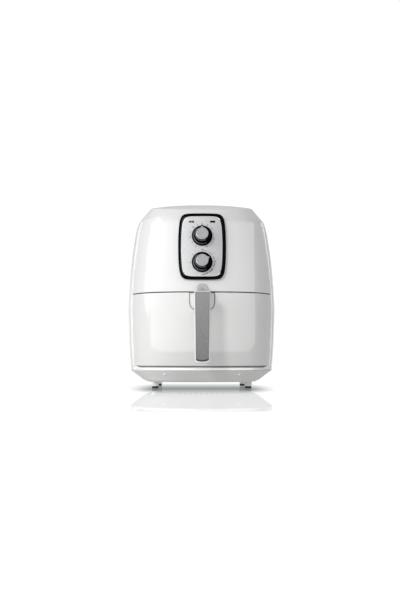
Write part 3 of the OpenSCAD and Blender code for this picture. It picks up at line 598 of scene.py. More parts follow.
def wrap_shell():
    """The side and rear shell: one section, with round noses where it meets the front faces, swept up the body."""
    r, t_in = 2.4, 2.6
    th = thetas(-WRAP, 180 + WRAP, 190, ends=())
    k = NOSE
    zs = [36.3 + d for d, e in round_steps(1.0, 4)]
    body_z = list(np.linspace(38, 331, 74))
    top = list(reversed(round_steps(1.3, 5)))
    rows = []

    def section(zv, e):
        """zv: height at each angle."""
        o = S(th, zv, 0.0)
        p = o[:, :2]
        t = np.gradient(p, axis=0)
        t /= np.linalg.norm(t, axis=1, keepdims=True)
        nrm = np.stack([t[:, 1], -t[:, 0]], -1)
        s = np.concatenate([[0], np.cumsum(np.linalg.norm(np.diff(p, axis=0), axis=1))])
        s_end = np.minimum(s, s[-1] - s)
        wall = t_in + (2 * r - t_in) * (1 - smooth(3, 14, s_end))
        # the last stretch gives way to the nose
        keep = s_end > r
        first, last = np.argmax(keep), len(keep) - 1 - np.argmax(keep[::-1])
        sel = slice(first, last + 1)
        outer = p[sel] - nrm[sel] * e
        inner = p[sel] - nrm[sel] * wall[sel, None]
        z_o = zv[sel]

        def nose(idx, sgn):
            c = p[idx] - nrm[idx] * (r + e / 2)
            rr = r - e / 2
            a = np.linspace(0, math.pi, k + 2)[1:-1]
            q = c + rr * (sp(np.cos(a), 0.62)[:, None] * nrm[idx] + sgn * sp(np.sin(a), 0.62)[:, None] * t[idx])
            return q
        n1, n0 = nose(last, 1), nose(first, -1)[::-1]
        loop = np.concatenate([outer, n1, inner[::-1], n0])
        z_l = np.concatenate([z_o, np.full(k, zv[last]), z_o[::-1], np.full(k, zv[first])])
        return np.concatenate([loop, z_l[:, None]], 1), len(outer)

    ztop = zc(th) - 0.08
    n_out = None
    plan = [(np.full_like(th, z), e) for z, (d, e) in zip(zs, round_steps(1.0, 4))]
    plan += [(36.3 + (z - 36.3) * (ztop - 36.3) / (334.7 - 0.2 - 36.3), 0.0) for z in body_z]
    plan += [(ztop - d, e) for d, e in top]
    counts = []
    for zv, e in plan:
        loop, c = section(zv, e)
        rows.append(loop)
        counts.append(c)
    m = min(counts)
    assert all(c == m for c in counts), counts
    n = len(rows[0])
    v = np.concatenate(rows)
    f = grid_faces(len(rows), n, wrap=True)
    for base, flip in ((0, True), ((len(rows) - 1) * n, False)):
        quads = []
        for j in range(m - 1):
            quads.append((base + j, base + j + 1, base + 2 * m + k - 2 - j, base + 2 * m + k - 1 - j))
        quads.append(tuple(base + i for i in range(m - 1, m + k + 1)))
        quads.append(tuple(base + i for i in [*range(2 * m + k - 1, n), 0]))
        f += [q[::-1] if flip else q for q in quads]
    # the nose faces that take the brighter lip white below: a painted highlight
    lip = {m - 1 + j for j in range(4, 13)} | {2 * m + k - 1 + j for j in range(k + 1 - 12, k + 1 - 3)}
    return v, f, n, lip


v, f, loop_n, lip = wrap_shell()
housing = mesh("side_and_rear_shell", v, f, M["white"], "housing", "housing_shell")
# the noses take the brighter lip white: painted highlight
housing.data.materials.append(M["lip"])
for q in housing.data.polygons:
    vs = sorted(i % loop_n for i in q.vertices)
    if len(vs) == 4 and vs[0] == vs[1] and vs[2] == vs[3] and vs[2] == vs[0] + 1 and vs[0] in lip and max(q.vertices) - min(q.vertices) < 2 * loop_n:
        q.material_index = 1
cut_boxes(housing, [((-50, 140, 200), (50, 180, 240)), ((51, 130, 51), (69, 170, 69))])


def front_sheet(z0, z1, wall=2.6, r=1.2, r_side=1.0, rows=40, cols=120, top_is_crease=False, r_top=None):
    side = round_steps(r_side, 4)
    th = thetas(-180 + WRAP + 0.15, -WRAP - 0.15, cols, ends=[d for d, e in side])
    es = np.zeros(len(th))
    for i, (d, e) in enumerate(side):
        es[i] = es[-1 - i] = e
    ztop = (zc(th) - 0.06) if top_is_crease else np.full(len(th), float(z1))
    r_top = r if r_top is None else r_top
    lo, hi = round_steps(r, 5), list(reversed(round_steps(r_top, 5)))
    plan = [(np.full(len(th), z0 + d), e) for d, e in lo]
    for w in np.linspace(0, 1, rows)[1:-1]:
        plan.append((z0 + r + (ztop - r_top - z0 - r) * w, 0.0))
    plan += [(ztop - d, e) for d, e in hi]
    out = np.stack([F(th, zv, -np.maximum(es, e)) for zv, e in plan])
    inn = np.stack([F(th, zv, -wall - 0 * th) for zv, e in plan])
    inn[0, :, 2], inn[-1, :, 2] = out[0, :, 2], out[-1, :, 2]
    m, n = out.shape[:2]
    return out.reshape(-1, 3), grid_faces(m, n), inn.reshape(-1, 3)


PT, PY, PZ = 6.7 * D2R, -162.9, 274.6          # the panel's lean and centre
PAN = Matrix.Translation((0, PY, PZ)) @ Matrix.Rotation(math.pi / 2 - PT, 4, "X")


def panel_pts(p):
    p = np.asarray(p, float)
    u, v, w = p[..., 0], p[..., 1], p[..., 2]
    c, s = math.cos(PT), math.sin(PT)
    return np.stack([u, PY + v * s - w * c, PZ + v * c + w * s], -1)


def panel_uv(x, z):
    return x, (z - PZ) / math.cos(PT)


vo, fo, vi = front_sheet(SEAM, None, rows=60, top_is_crease=True, r=1.0, r_top=0.15)
cx = np.array([vo[list(q)].mean(0) for q in fo])
uu, vv_ = panel_uv(cx[:, 0], cx[:, 2])
keep = (np.abs(uu) / 38.6) ** 8 + (np.abs(vv_) / 56.6) ** 8 > 1
fo = [q for q, k_ in zip(fo, keep) if k_]
v, f = thicken(vo, fo, vi)
mesh("upper_front_shell", v, f, M["white"], "housing", "front_shell")


def top_shell():
    n = 256
    th = np.array([t for t in thetas(-90, 270, n + 1)[:-1]])
    edge = zc(th)
    rim = S(th, edge, -0.2)
    ctr = rim[:, :2]
    # the front corners draw in with the front sheets below them
    da = np.abs((th + 90 + 180) % 360 - 180)
    sk = 2.3 * smooth(0.6, 0.9, np.abs(np.cos(th * D2R)) ** (2 / N_FRONT)) * (1 - smooth(62.5, 66.2, da))
    sunk = S(th, edge, -0.2 - sk)[:, :2]
    ln = np.linalg.norm(ctr, axis=1)
    ss = 1 - np.concatenate([[0.0, 0.0015, 0.0035], np.linspace(0.007, 0.27, 44)])
    ss = np.concatenate([ss, np.linspace(0.71, 0.03, 30)])
    out = [np.concatenate([sunk * (1 - 1.4 / ln)[:, None], (edge - 0.12)[:, None]], 1),
           np.concatenate([sunk * (1 - 0.1 / ln)[:, None], (edge - 0.10)[:, None]], 1)]
    for s in ss:
        z = edge + (TOP - edge) * rise(s, th)
        k = min(1.0, (1 - s) / 0.0015)
        at = ctr + (sunk - ctr) * float(smooth(0.86, 1.0, s))
        out.append(np.concatenate([at * s, np.minimum(z + 0.12 * (1 - k), TOP)[:, None]], 1))
    rows = out
    inner = []
    for r_ in [rows[0], *rows[2:]]:
        q = r_.copy()
        q[:, :2] *= 0.975
        q[:, 2] -= 2.6
        inner.append(q)
    inner[0][:, 2] = rows[0][:, 2]
    v = np.concatenate([*rows, *inner])
    a, b = len(rows), len(inner)
    f = grid_faces(a, n, wrap=True)
    f += grid_faces(b, n, base=a * n, wrap=True, flip=True)
    f += [(a * n + j, a * n + (j + 1) % n, (j + 1) % n, j) for j in range(n)]
    v = np.concatenate([v, [[0, 0, TOP], [0, 0, TOP - 2.6]]])
    p0, p1 = len(v) - 2, len(v) - 1
    f += [((a - 1) * n + j, (a - 1) * n + (j + 1) % n, p0) for j in range(n)]
    f += [((a + b - 1) * n + (j + 1) % n, (a + b - 1) * n + j, p1) for j in range(n)]
    return v, f


v, f = top_shell()
# the top takes the darker copy of the white: painted shade
mesh("top_shell", v, f, M["white_t"], "housing", "top_cover")


def skirt():
    n = 300
    th = thetas(-90, 270, n + 1)[:-1]
    rows = []
    up = S(th, SK_TOP, -0.2)
    dn = B(th)
    for off, dz in ((-4.0, 0.0), (-3.0, 0.0), (-2.0, 0.18), (-1.1, 0.7), (-0.45, 1.5)):
        q = B(th, off)
        q[:, 2] += dz
        rows.append(q)
    for w in np.linspace(0.13, 0.94, 16):
        rows.append(dn + (up - dn) * w)
    for off, dz in ((-0.2, -0.7), (-0.45, -0.25), (-1.1, 0.0), (-4.0, 0.0)):
        q = S(th, SK_TOP, off)
        q[:, 2] += dz
        rows.append(q)
    q = S(th, SK_TOP, -4.0) * 0.5 + B(th, -4.0) * 0.5
    rows.append(q)
    v = np.concatenate(rows)
    f = grid_faces(len(rows), n, wrap=True)
    m = len(rows)
    f += [((m - 1) * n + j, (m - 1) * n + (j + 1) % n, (j + 1) % n, j) for j in range(n)]
    return v, f


v, f = skirt()
mesh("base_skirt_moulding", v, f, M["base"], "housing", "base_skirt")


def trim():
    side = round_steps(1.0, 4)
    th = thetas(-180 + WRAP - 0.6, -WRAP + 0.6, 110, z=40, ends=[d for d, e in side])
    es = np.zeros(len(th))
    for i, (d, e) in enumerate(side):
        es[i] = es[-1 - i] = e
    x = np.abs(F(th, 42.0)[:, 0])
    near = smooth(123, 133, x)           # the gap closes towards its ends
    ztop = T_TOP + 2.4 * near
    plan = [(np.full(len(th), 36.3 + d), e) for d, e in round_steps(0.8, 4)]
    plan += [(36.3 + 0.8 + (ztop - 2.0 - 37.1) * w, 0.0) for w in (0.35, 0.7)]
    plan += [(ztop - d * (1 - 0.8 * near), e * (1 - 0.8 * near)) for d, e in reversed(round_steps(2.0, 6))]
    out = np.stack([F(th, zv, -np.maximum(es, e) - (2.9 - 1.5 * near) * (zv - 36.3) / 7.3) for zv, e in plan])
    inn = np.stack([F(th, zv, -6.8 + 0 * th) for zv, e in plan])
    # the lip that stands behind the drawer's lower edge
    lip = [(ztop, -5.2), (np.full(len(th), 48.4), -5.2), (np.full(len(th), 48.4), -6.6)]
    back = [F(th, zv, off) for zv, off in lip]
    rows = [*out, *back, *inn[::-1]]
    m, n = len(rows), len(th)
    v = np.concatenate(rows)
    f = grid_faces(m, n)
    f += [((m - 1) * n + j, (m - 1) * n + j + 1, j + 1, j) for j in range(n - 1)]
    f.append(tuple(i * n for i in range(m))[::-1][::-1])
    f.append(tuple(i * n + n - 1 for i in range(m))[::-1])
    return v, f


v, f = trim()
# the whole strip takes the brighter lip white: painted highlight
mesh("lower_trim_strip", v, f, M["lip"], "housing", "front_trim")

# ------------------------------------------------------------------ drawer front, with the notch for the handle's root
NW, NZ = 24.5, 150.3


def notch_outline(c=0.0, top=D_TOP, k=40):
    """Anticlockwise in x-z, from the left shoulder down round the bottom and up to the right."""
    a = np.linspace(math.pi, 2 * math.pi, k)
    low = np.stack([(NW - c) * sp(np.cos(a), 0.75), NZ + 20 + (20 - c) * sp(np.sin(a), 0.75)], -1)
    return np.concatenate([[[-(NW - c), top]], low, [[NW - c, top]]])


def notch_bottom(x):
    c = np.clip(np.abs(x) / NW, 0, 1) ** (1 / 0.75)
    return NZ + 20 - 20 * (np.sqrt(np.clip(1 - c * c, 0, 1))) ** 0.75


def dist_to_path(px, pz, path):
    """Distance from each point to an open path of segments."""
    best = np.full(px.shape, 1e9)
    for (x0, z0), (x1, z1) in zip(path[:-1], path[1:]):
        dx, dz = x1 - x0, z1 - z0
        l2 = dx * dx + dz * dz
        if l2 < 1e-12:
            continue
        t = np.clip(((px - x0) * dx + (pz - z0) * dz) / l2, 0, 1)
        best = np.minimum(best, np.hypot(px - x0 - t * dx, pz - z0 - t * dz))
    return best


def drawer_panel():
    path = notch_outline(0, k=120)
    r_edge, r_notch = 1.2, 1.4
    steps = round_steps(r_edge, 5)
    side = round_steps(1.0, 4)
    # rows below the notch's shoulders (t from 0 to 1), then rows beside it
    z_sh = NZ + 20
    low = [D_BOT + d for d, e in steps]
    t_low = [(z - D_BOT) / (z_sh - D_BOT) for z in low]
    near = [0.0, 0.12, 0.3, 0.55, 0.9, 1.4, 2.2, 3.6]
    t_mid = list(np.linspace(t_low[-1], 1 - 6.0 / (z_sh - D_BOT), 46)[1:])
    t_hi = [1 - d / (z_sh - D_BOT) for d in reversed(near)]
    t_all = np.array(t_low + t_mid + t_hi)
    z_up = np.concatenate([np.linspace(z_sh, D_TOP - r_edge, 9)[1:-1], [D_TOP - d for d, e in reversed(steps)]])
    # columns
    th = thetas(-90, -WRAP - 0.25, 62, z=120, ends=[d for d, e in side])
    th = th[th > -89.9]
    u_side = np.abs(np.cos(th * D2R)) ** (2 / N_FRONT)
    es = np.zeros(len(u_side))
    for i, (d, e) in enumerate(side):
        es[-1 - i] = e
    beside = NW + np.array(near)
    u_ref = crv(HW, 120.0)
    far = u_side * u_ref > NW + 5.5
    u_far, e_far = u_side[far], es[far]
    xs_c = NW * np.sin(np.linspace(0, math.pi / 2, 22))

    def x_side(i, z):
        """Column i to the right of the notch: the near ones are straight, the far ones follow the body's width."""
        if i < len(beside):
            return np.full_like(z, beside[i])
        u, u0, u1 = u_far[i - len(beside)], u_far[0], u_far[-1]
        a = crv(HW, z)
        w = (u - u0) / (u1 - u0)
        x0 = u0 * u_ref
        return x0 + (u1 * a - x0) * (w * (u1 * u_ref - x0) / (u1 * u_ref - x0)) if False else x0 + (u1 * a - x0) * ((u * u_ref - x0) / (u1 * u_ref - x0))
    n_side = len(beside) + len(u_far)
    e_side = np.concatenate([np.zeros(len(beside)), e_far])
    z_side = np.concatenate([D_BOT + (z_sh - D_BOT) * t_all, z_up])
    # edge rounding by height
    def edge_e(z):
        d = np.minimum(z - D_BOT, D_TOP - z)
        d = np.clip(d, 0, r_edge)
        return r_edge - np.sqrt(np.maximum(r_edge**2 - (r_edge - d) ** 2, 0))
    pts, ee = [], []
    idx = {}

    def put(key, x, z, e):
        idx[key] = len(pts)
        pts.append((x, z))
        ee.append(e)
    for i in range(n_side):
        xc = x_side(i, z_side)
        for j, z in enumerate(z_side):
            for s in (1, -1):
                put((s, i, j), s * xc[j], z, e_side[i])
    for c, x in enumerate(xs_c[:-1]):
        zt = float(notch_bottom(x))
        for j, t in enumerate(t_all):
            for s in ((1, -1) if c else (1,)):
                put((s, "c", c, j), s * x, D_BOT + (zt - D_BOT) * t, 0.0)
    p = np.array(pts)
    e = np.maximum(np.array(ee), edge_e(p[:, 1]))
    dn = np.clip(dist_to_path(p[:, 0], p[:, 1], path), 0, r_notch)
    e = np.maximum(e, r_notch - np.sqrt(np.maximum(r_notch**2 - (r_notch - dn) ** 2, 0)))
    vo = np.stack([p[:, 0], face_y(p[:, 0], p[:, 1]) + e, p[:, 1]], -1)
    vi = np.stack([p[:, 0] * 0.992, face_y(p[:, 0], p[:, 1], -2.6) + np.maximum(0, 1.0 * (dn < r_notch)), p[:, 1]], -1)
    vi[:, 1] = np.maximum(vi[:, 1], vo[:, 1] + 0.6)
    faces = []
    for s in (1, -1):
        def q(*k4):
            r_ = [idx[k] for k in k4]
            faces.append(tuple(r_ if s == 1 else r_[::-1]))
        for i in range(n_side - 1):
            for j in range(len(z_side) - 1):
                q((s, i, j), (s, i + 1, j), (s, i + 1, j + 1), (s, i, j + 1))
        nc = len(xs_c) - 1
        for c in range(nc):
            for j in range(len(t_all) - 1):
                a0 = (s if c else 1, "c", c, j)
                a1 = (s if c else 1, "c", c, j + 1)
                b0 = (s, "c", c + 1, j) if c + 1 < nc else (s, 0, j)
                b1 = (s, "c", c + 1, j + 1) if c + 1 < nc else (s, 0, j + 1)
                q(a0, b0, b1, a1)
    return thicken(vo, faces, vi)


v, f = drawer_panel()
# the drawer front takes the darker copy of the white: painted shade
mesh("drawer_panel", v, f, M["white_d"], "drawer", "drawer_front")

# ------------------------------------------------------------------ control panel


def on_shell(u, v, off=0.0):
    """Height above the panel's plane of the front shell at panel point (u, v)."""
    w = np.zeros_like(u)
    for _ in range(30):
        q = panel_pts(np.stack([u, v, w], -1))
        w = w - (fy(q[..., 0], q[..., 2]) - off - q[..., 1]) / math.cos(PT)
    return w


def frame_rings(profile, a=46.3, b=65.1, n=8, k=320):
    rows = []
    for ins, h in profile:
        o = oval(a - ins, b - ins, n, k)
        o[:, 1] += RV + 0.4 * (o[:, 1] > 0) * smooth(20, 60, o[:, 1])
        hh = on_shell(o[:, 0], o[:, 1]) - 0.4 if h is None else np.full(len(o), float(h))
        rows.append(panel_pts(np.concatenate([o, hh[:, None]], 1)))
    return rows


BW, RV = 6.0, 0.9
bez = [(BW, 0.2), (BW + 0.0, None), (0.25, None), (0.0, 0.8), (0.05, 1.3), (0.3, 1.9), (0.8, 2.3), (1.6, 2.55), (2.65, 2.65), (3.7, 2.55),
       (4.8, 2.3), (5.5, 1.95), (BW, 1.4), (BW, 0.2)]
rows = frame_rings(bez)
rows[1] = rows[0] * 0 + frame_rings([(BW, -2.0)])[0]
v, f = rings(rows, False, False)
rim = mesh("panel_rim", v, [q[::-1] for q in f], M["piano"], "housing", "panel_bezel")
rim.data.materials.append(M["piano_sheen"])
per = len(rows[0])
for q in rim.data.polygons:          # painted sheen: the inner slope takes a grey copy of the black down its left side
    lo_ = min(i // per for i in q.vertices)
    if len(q.vertices) == 4 and 9 <= lo_ <= 10 and q.center.x < -0.033 and max(q.vertices) - min(q.vertices) < 2 * per:
        q.material_index = 1

line = [(BW - 0.1, 1.2), (BW - 0.05, 1.85), (BW + 0.2, 2.0), (BW + 0.75, 1.95), (BW + 1.0, 1.7), (BW + 1.0, 1.2)]
v, f = rings(frame_rings(line), False, False)
n_ = 320
m_ = len(line)
f += [((m_ - 1) * n_ + j, (m_ - 1) * n_ + (j + 1) % n_, (j + 1) % n_, j) for j in range(n_)]
bl = mesh("panel_bright_line", v, [q[::-1] for q in f], M["bright"], "housing")
bl.data.materials.append(M["piano"])
# the line's right part takes the piano black: painted shade
for q in bl.data.polygons:
    if q.center.x > 0.0345:
        q.material_index = 1

TV, CV = 21.8, -30.2          # knob centres up the panel


def flat_with_holes(outer, holes, seeds=()):
    """Triangles of a plane outline with holes. Returns (2-D points, faces)."""
    pts, edges = [], []
    for loop in [outer, *holes]:
        b = len(pts)
        pts += [Vector((float(x), float(y))) for x, y in loop]
        edges += [(b + i, b + (i + 1) % len(loop)) for i in range(len(loop))]
    pts += [Vector((float(x), float(y))) for x, y in seeds]
    out = delaunay_2d_cdt(pts, edges, [], 1, 1e-6)
    P = np.array([tuple(q) for q in out[0]])
    faces = []
    for tri in out[2]:
        c = P[list(tri)].mean(0)
        if any(inside(c, h) for h in holes):
            continue
        tri = list(tri)
        a, b, d = P[tri[0]], P[tri[1]], P[tri[2]]
        if (b[0] - a[0]) * (d[1] - a[1]) - (b[1] - a[1]) * (d[0] - a[0]) < 0:
            tri = tri[::-1]
        faces.append(tuple(tri))
    return P, faces


def inside(p, loop):
    x, y = p
    q = np.asarray(loop)
    r = np.roll(q, -1, 0)
    hit = ((q[:, 1] > y) != (r[:, 1] > y)) & (x < (r[:, 0] - q[:, 0]) * (y - q[:, 1]) / (r[:, 1] - q[:, 1] + 1e-15) + q[:, 0])
    return bool(np.count_nonzero(hit) % 2)


def circle(r, cx=0.0, cy=0.0, k=48):
    a = np.linspace(0, 2 * math.pi, k, endpoint=False)
    return np.stack([cx + r * np.cos(a), cy + r * np.sin(a)], -1)


plate_out = oval(46.3 - BW - 0.9, 65.1 - BW - 0.9) + np.array([0, RV])
lamp_hole = [round_poly([(s * 20.4 - 5.0, 47.7), (s * 20.4 + 5.0, 47.7), (s * 20.4 + 5.0, 51.7), (s * 20.4 - 5.0, 51.7)], [0.6] * 4, 4) for s in (-1, 1)]
P, fo = flat_with_holes(plate_out, [circle(5, 0, TV), circle(5, 0, CV), *lamp_hole])
vo = panel_pts(np.concatenate([P, np.full((len(P), 1), 1.55)], 1))
vi = panel_pts(np.concatenate([P, np.full((len(P), 1), 0.25)], 1))
v, f = thicken(vo, fo, vi)
mesh("panel_face", v, f, M["plate"], "housing", "panel_plate", shade=False)


def lens(s, key, name):
    out = round_poly([(s * 20.4 - 4.95, 47.75), (s * 20.4 + 4.95, 47.75), (s * 20.4 + 4.95, 51.65), (s * 20.4 - 4.95, 51.65)], [0.7] * 4, 5)
    rows = [panel_pts(np.concatenate([inset(out, c), np.full((len(out), 1), h)], 1)) for c, h in
            ((0, -2.0), (0, 1.75), (0.1, 1.95), (0.35, 2.1), (0.8, 2.16))]
    v, f = rings(rows)
    return mesh(name, v, f, M[key], "housing", "power_lamp" if s < 0 else "heat_lamp")


lens(-1, "lamp_l", "left_lamp_lens")
lens(1, "lamp_r", "right_lamp_lens")

# printed scales: ticks, a wedge and plain numerals
ink_v, ink_f = [], []


def ink(poly, h=1.60):
    """A flat printed mark: a thin closed prism just above the plate."""
    b = len(ink_v)
    n = len(poly)
    for hh in (h - 0.045, h):
        for x, y in poly:
            ink_v.append((x, y, hh))
    ink_f.append(tuple(b + n + i for i in range(n)))
    ink_f.append(tuple(b + i for i in range(n))[::-1])
    for i in range(n):
        j = (i + 1) % n
        ink_f.append((b + i, b + j, b + n + j, b + n + i))


def polar(r, deg, cv):
    return (r * math.sin(deg * D2R), cv + r * math.cos(deg * D2R))


for i in range(12):          # timer: numerals each ten minutes, a tick between the upper ones
    d = i * 26.25
    if i in (1, 3, 9, 11):
        ink([polar(22.3, d - 1.5, TV), polar(24.3, d - 1.5, TV), polar(24.3, d + 1.5, TV), polar(22.3, d + 1.5, TV)][::-1])
ink([polar(22.6, -23.8, TV), polar(24.0, -23.8, TV), polar(24.0, -21.2, TV), polar(22.6, -21.2, TV)][::-1])
for i in range(60):          # temperature: a line that widens clockwise, broken near each numeral
    a0, a1 = i * 3, (i + 1) * 3
    w0, w1 = 0.5 + 1.1 * i / 60, 0.5 + 1.1 * (i + 1) / 60
    if i % 10 not in (8, 9) and not 26 <= i <= 31:
        ink([polar(23.3, a0, CV), polar(23.3 + w0, a0, CV), polar(23.3 + w1, a1, CV), polar(23.3, a1, CV)][::-1])
ink([(polar(24.0, 129, CV)[0] + 1.4 * math.cos(q * D2R), polar(24.0, 129, CV)[1] + 1.4 * math.sin(q * D2R)) for q in range(0, 360, 20)])
for d in (-92, -49):
    ink([polar(22.6, d - 1.5, CV), polar(24.2, d - 1.5, CV), polar(24.2, d + 1.5, CV), polar(22.6, d + 1.5, CV)][::-1])
numerals = [(str(m_), 52.5 * i, TV, 23.6, 3.5 if i in (0, 1, 6) else 2.6) for i, m_ in enumerate((0, 10, 20, 30, 40, 50, 60))]
numerals += [(str(c_), g_, CV, 24.6, z_) for c_, g_, z_ in ((80, 0.0, 3.1), (140, 87.0, 3.1), (200, 178.0, 2.5))]


def text_polys(text, size):
    cu = bpy.data.curves.new("numeral", "FONT")
    cu.body, cu.size, cu.align_x, cu.align_y = text, size, "CENTER", "CENTER"
    cu.resolution_u = 3
    cu.offset = 0.03 * size
    ob = bpy.data.objects.new("numeral", cu)
    bpy.context.scene.collection.objects.link(ob)
    dg = bpy.context.evaluated_depsgraph_get()
    me = bpy.data.meshes.new_from_object(ob.evaluated_get(dg))
    v = np.array([tuple(q.co) for q in me.vertices])
    f = [tuple(p.vertices) for p in me.polygons]
    bpy.data.objects.remove(ob)
    bpy.data.curves.remove(cu)
    bpy.data.meshes.remove(me)
    return v, f


for text, deg, cv, rad, size in numerals:
    tv, tf = text_polys(text, size)
    x0, y0 = polar(rad, deg, cv)
    b = len(ink_v)
    n = len(tv)
    flat = np.stack([tv[:, 0] + x0, tv[:, 1] + y0], -1)
    out_f = []
    for q in tf:
        a_, b_, c_ = flat[q[0]], flat[q[1]], flat[q[2]]
        cr = (b_[0] - a_[0]) * (c_[1] - a_[1]) - (b_[1] - a_[1]) * (c_[0] - a_[0])
        out_f.append(q if cr > 0 else q[::-1])
    used = {(a_, b_) for q in out_f for a_, b_ in zip(q, list(q[1:]) + [q[0]])}
    side_f = [(b_, a_, a_ + n, b_ + n) for a_, b_ in used if (b_, a_) not in used]
    ink_v += [(x, y, 1.60) for x, y in flat] + [(x, y, 1.555) for x, y in flat]
    ink_f += [tuple(b + i for i in q) for q in out_f] + [tuple(b + n + i for i in reversed(q)) for q in out_f]
    ink_f += [tuple(b + i for i in q) for q in side_f]
mesh("printed_scales", panel_pts(np.array(ink_v)), ink_f, M["ink"], "housing", shade=False)


def tall(w):
    """Knob heights above 7 mm, stretched."""
    return np.where(w > 7, 7 + (w - 7) * KNOB_K, w)


KNOB_K = 1.271


def knob(name, cv, ang, body, node):
    def rib(a, z, r):
        # shallow grip flutes on the tapered part only, and the beak that carries the pointer
        k = float(smooth(5.6, 7.0, z) * (1 - smooth(16.6, 18.0, z)))
        rr = r - 0.55 * k * (0.5 + 0.5 * np.cos(40 * a)) ** 1.5
        d = a - (math.pi / 2 - ang * D2R)
        d = np.abs(np.arctan2(np.sin(d), np.cos(d)))
        beak = np.where(d < 0.5, 18.0 / (np.cos(d) + 1.14 * np.sin(d)), 0.0)
        g = float(smooth(8.5, 12.5, z)) if r >= 13.5 else 0.0
        if r < 14.0:
            beak = beak - 0.35
        return rr + g * (np.maximum(beak, rr) - rr)
    prof = [(5.9, 2.25), (18.2, 2.25), (19.0, 2.3), (19.75, 2.55), (20.0, 3.0), (20.0, 3.5), (19.8, 3.95), (19.2, 4.3), (18.5, 4.5), (18.0, 4.75),
            (17.6, 5.1), (17.45, 5.6), (17.3, 6.2), (17.1, 7.0), (16.7, 8.6), (16.2, 10.6), (15.65, 12.8), (15.1, 15.0), (14.75, 16.4),
            (14.5, 17.4), (14.2, 18.1), (13.7, 18.5), (13.1, 18.75), (12.75, 18.7), (12.6, 18.45), (6.0, 18.45)]
    rows = lathe(prof, 400, rib)
    v, f = rings(rows)
    v[:, 2] = tall(v[:, 2])
    v = v + np.array([0, cv, 0])
    ob = mesh(name, panel_pts(v), f, M["knob"], body, node)
    ob.data.materials.append(M["knob_edge"])
    ob.data.materials.append(M["knob_sheen"])
    for q in ob.data.polygons:           # painted highlights: brighter bands at the grip's foot and rim, where they lean to the left and down
        lo_ = min(i // 400 for i in q.vertices)
        c = np.mean([v[i, :2] for i in q.vertices], 0) - [0, cv]
        lean = (-c[0] * 0.82 - c[1] * 0.57) / max(np.hypot(*c), 1e-6)
        if len(q.vertices) == 4 and lean > 0.08 and lo_ in (11, 12, 13, 19, 20, 21):
            q.material_index = 1 if lean > 0.5 and lo_ < 15 else 2
    return ob


def knob_cap(name, cv, ang, body, node):
    """A round satin cap whose pointer reaches over the knob's edge."""
    r, tip = 11.9, 15.3
    a = np.linspace(0, 2 * math.pi, 180, endpoint=False)
    # outline: the circle and a pointed lug, at the top, then smoothed a little
    out = []
    for t in a:
        d = math.atan2(math.sin(t - math.pi / 2), math.cos(t - math.pi / 2))
        rr = r
        x = abs(d)
        if x < 0.3:
            rr = max(r, tip - (tip - r) * (x / 0.27))
        out.append((rr * math.cos(t), rr * math.sin(t)))
    out = np.array(out)
    for _ in range(2):
        out = 0.5 * out + 0.25 * (np.roll(out, 1, 0) + np.roll(out, -1, 0))
    rows = [np.concatenate([inset(out, c), np.full((len(out), 1), h)], 1) for c, h in
            ((0.2, 18.3), (0.0, 18.6), (0.0, 19.2), (0.2, 19.5), (0.85, 19.85), (1.0, 19.9), (1.15, 19.85))]
    for k in (0.98, 0.84, 0.6, 0.3, 0.08):
        q = inset(out, 1.15) * k
        rows.append(np.concatenate([q, np.full((len(out), 1), 19.78 + 0.03 * k)], 1))
    v, f = rings(rows)
    v[:, 2] = tall(v[:, 2])
    n_out = len(out)
    c_, s_ = math.cos(-ang * D2R), math.sin(-ang * D2R)
    v = np.stack([v[:, 0] * c_ - v[:, 1] * s_, v[:, 0] * s_ + v[:, 1] * c_ + cv, v[:, 2]], -1)
    ob = mesh(name, panel_pts(v), f, M["cap"], body, node)
    ob.data.materials.append(M["bright"])
    ob.data.materials.append(M["cap_edge"])
    for q in ob.data.polygons:           # painted highlight: the turned edge takes brighter metals where it leans to the left and down
        lo_ = min(i // n_out for i in q.vertices)
        c = np.mean([v[i, :2] for i in q.vertices], 0) - [0, cv]
        lean = -c[0] * 0.75 - c[1] * 0.66
        if len(q.vertices) == 4 and 3 <= lo_ <= 4 and lean > 2.0:
            q.material_index = 1 if lean > 9.4 and lo_ == 3 else 2
    return ob


knob("timer_grip", TV, 0, "timer_dial", "timer_knob")
knob("temperature_grip", CV, 67, "temp_dial", "temp_knob")
knob_cap("timer_cap", TV, 0, "timer_dial", "timer_knob_cap")
knob_cap("temperature_cap", CV, 67, "temp_dial", "temp_knob_cap")

# ------------------------------------------------------------------ handle
GY = -220.0


def grip_outline(w0, w1, z0, z1, r0, r1, sag=0.0, k=10):
    """Anticlockwise seen from the front (x right, z up), w0 wide at the bottom and w1 at the top, with a bellied lower edge."""
    low = [(-w0 / 2, z0 + sag)]
    m = 9 if sag else 0
    for i in range(1, m):
        t = -1 + 2 * i / m
        low.append((t * w0 / 2, z0 + sag * t * t))
    low.append((w0 / 2, z0 + sag))
    pts = low + [(w1 / 2, z1), (-w1 / 2, z1)]
    rad = [r0] + [0] * (len(low) - 2) + [r0, r1, r1]
    return round_poly(pts, rad, k)


def grip():
    out = even(grip_outline(28.4, 31.0, 50, 186.4, 6.0, 3.0), 260)
    rec = even(grip_outline(24.2, 27.2, 53.6, 184.4, 2.0, 1.6, sag=2.6), 260)
    # the same start point for both, the one nearest the bottom middle
    mid = np.array([0, 118.0])

    def align(p):
        i = int(np.argmin(np.linalg.norm(p - np.array([0, 50.0]), axis=1)))
        return np.roll(p, -i, 0)
    out, rec = align(out), align(rec)
    rows = [upright(inset(out, c), y) for c, y in
            ((2.6, -208.0), (1.6, -208.05), (0.8, -208.35), (0.25, -208.9), (0.0, -209.8), (0.0, -213.0), (0.0, -216.6), (0.12, -217.8),
             (0.45, -218.8), (0.95, -219.5), (1.5, -219.85))]
    rows += [upright(rec + (inset(rec, -c) - rec), y) for c, y in ((0.45, -219.98), (0.15, -219.9), (0.0, -219.6), (0.0, -211.6))]
    v, f = rings(rows)
    return v, [q[::-1] for q in f]


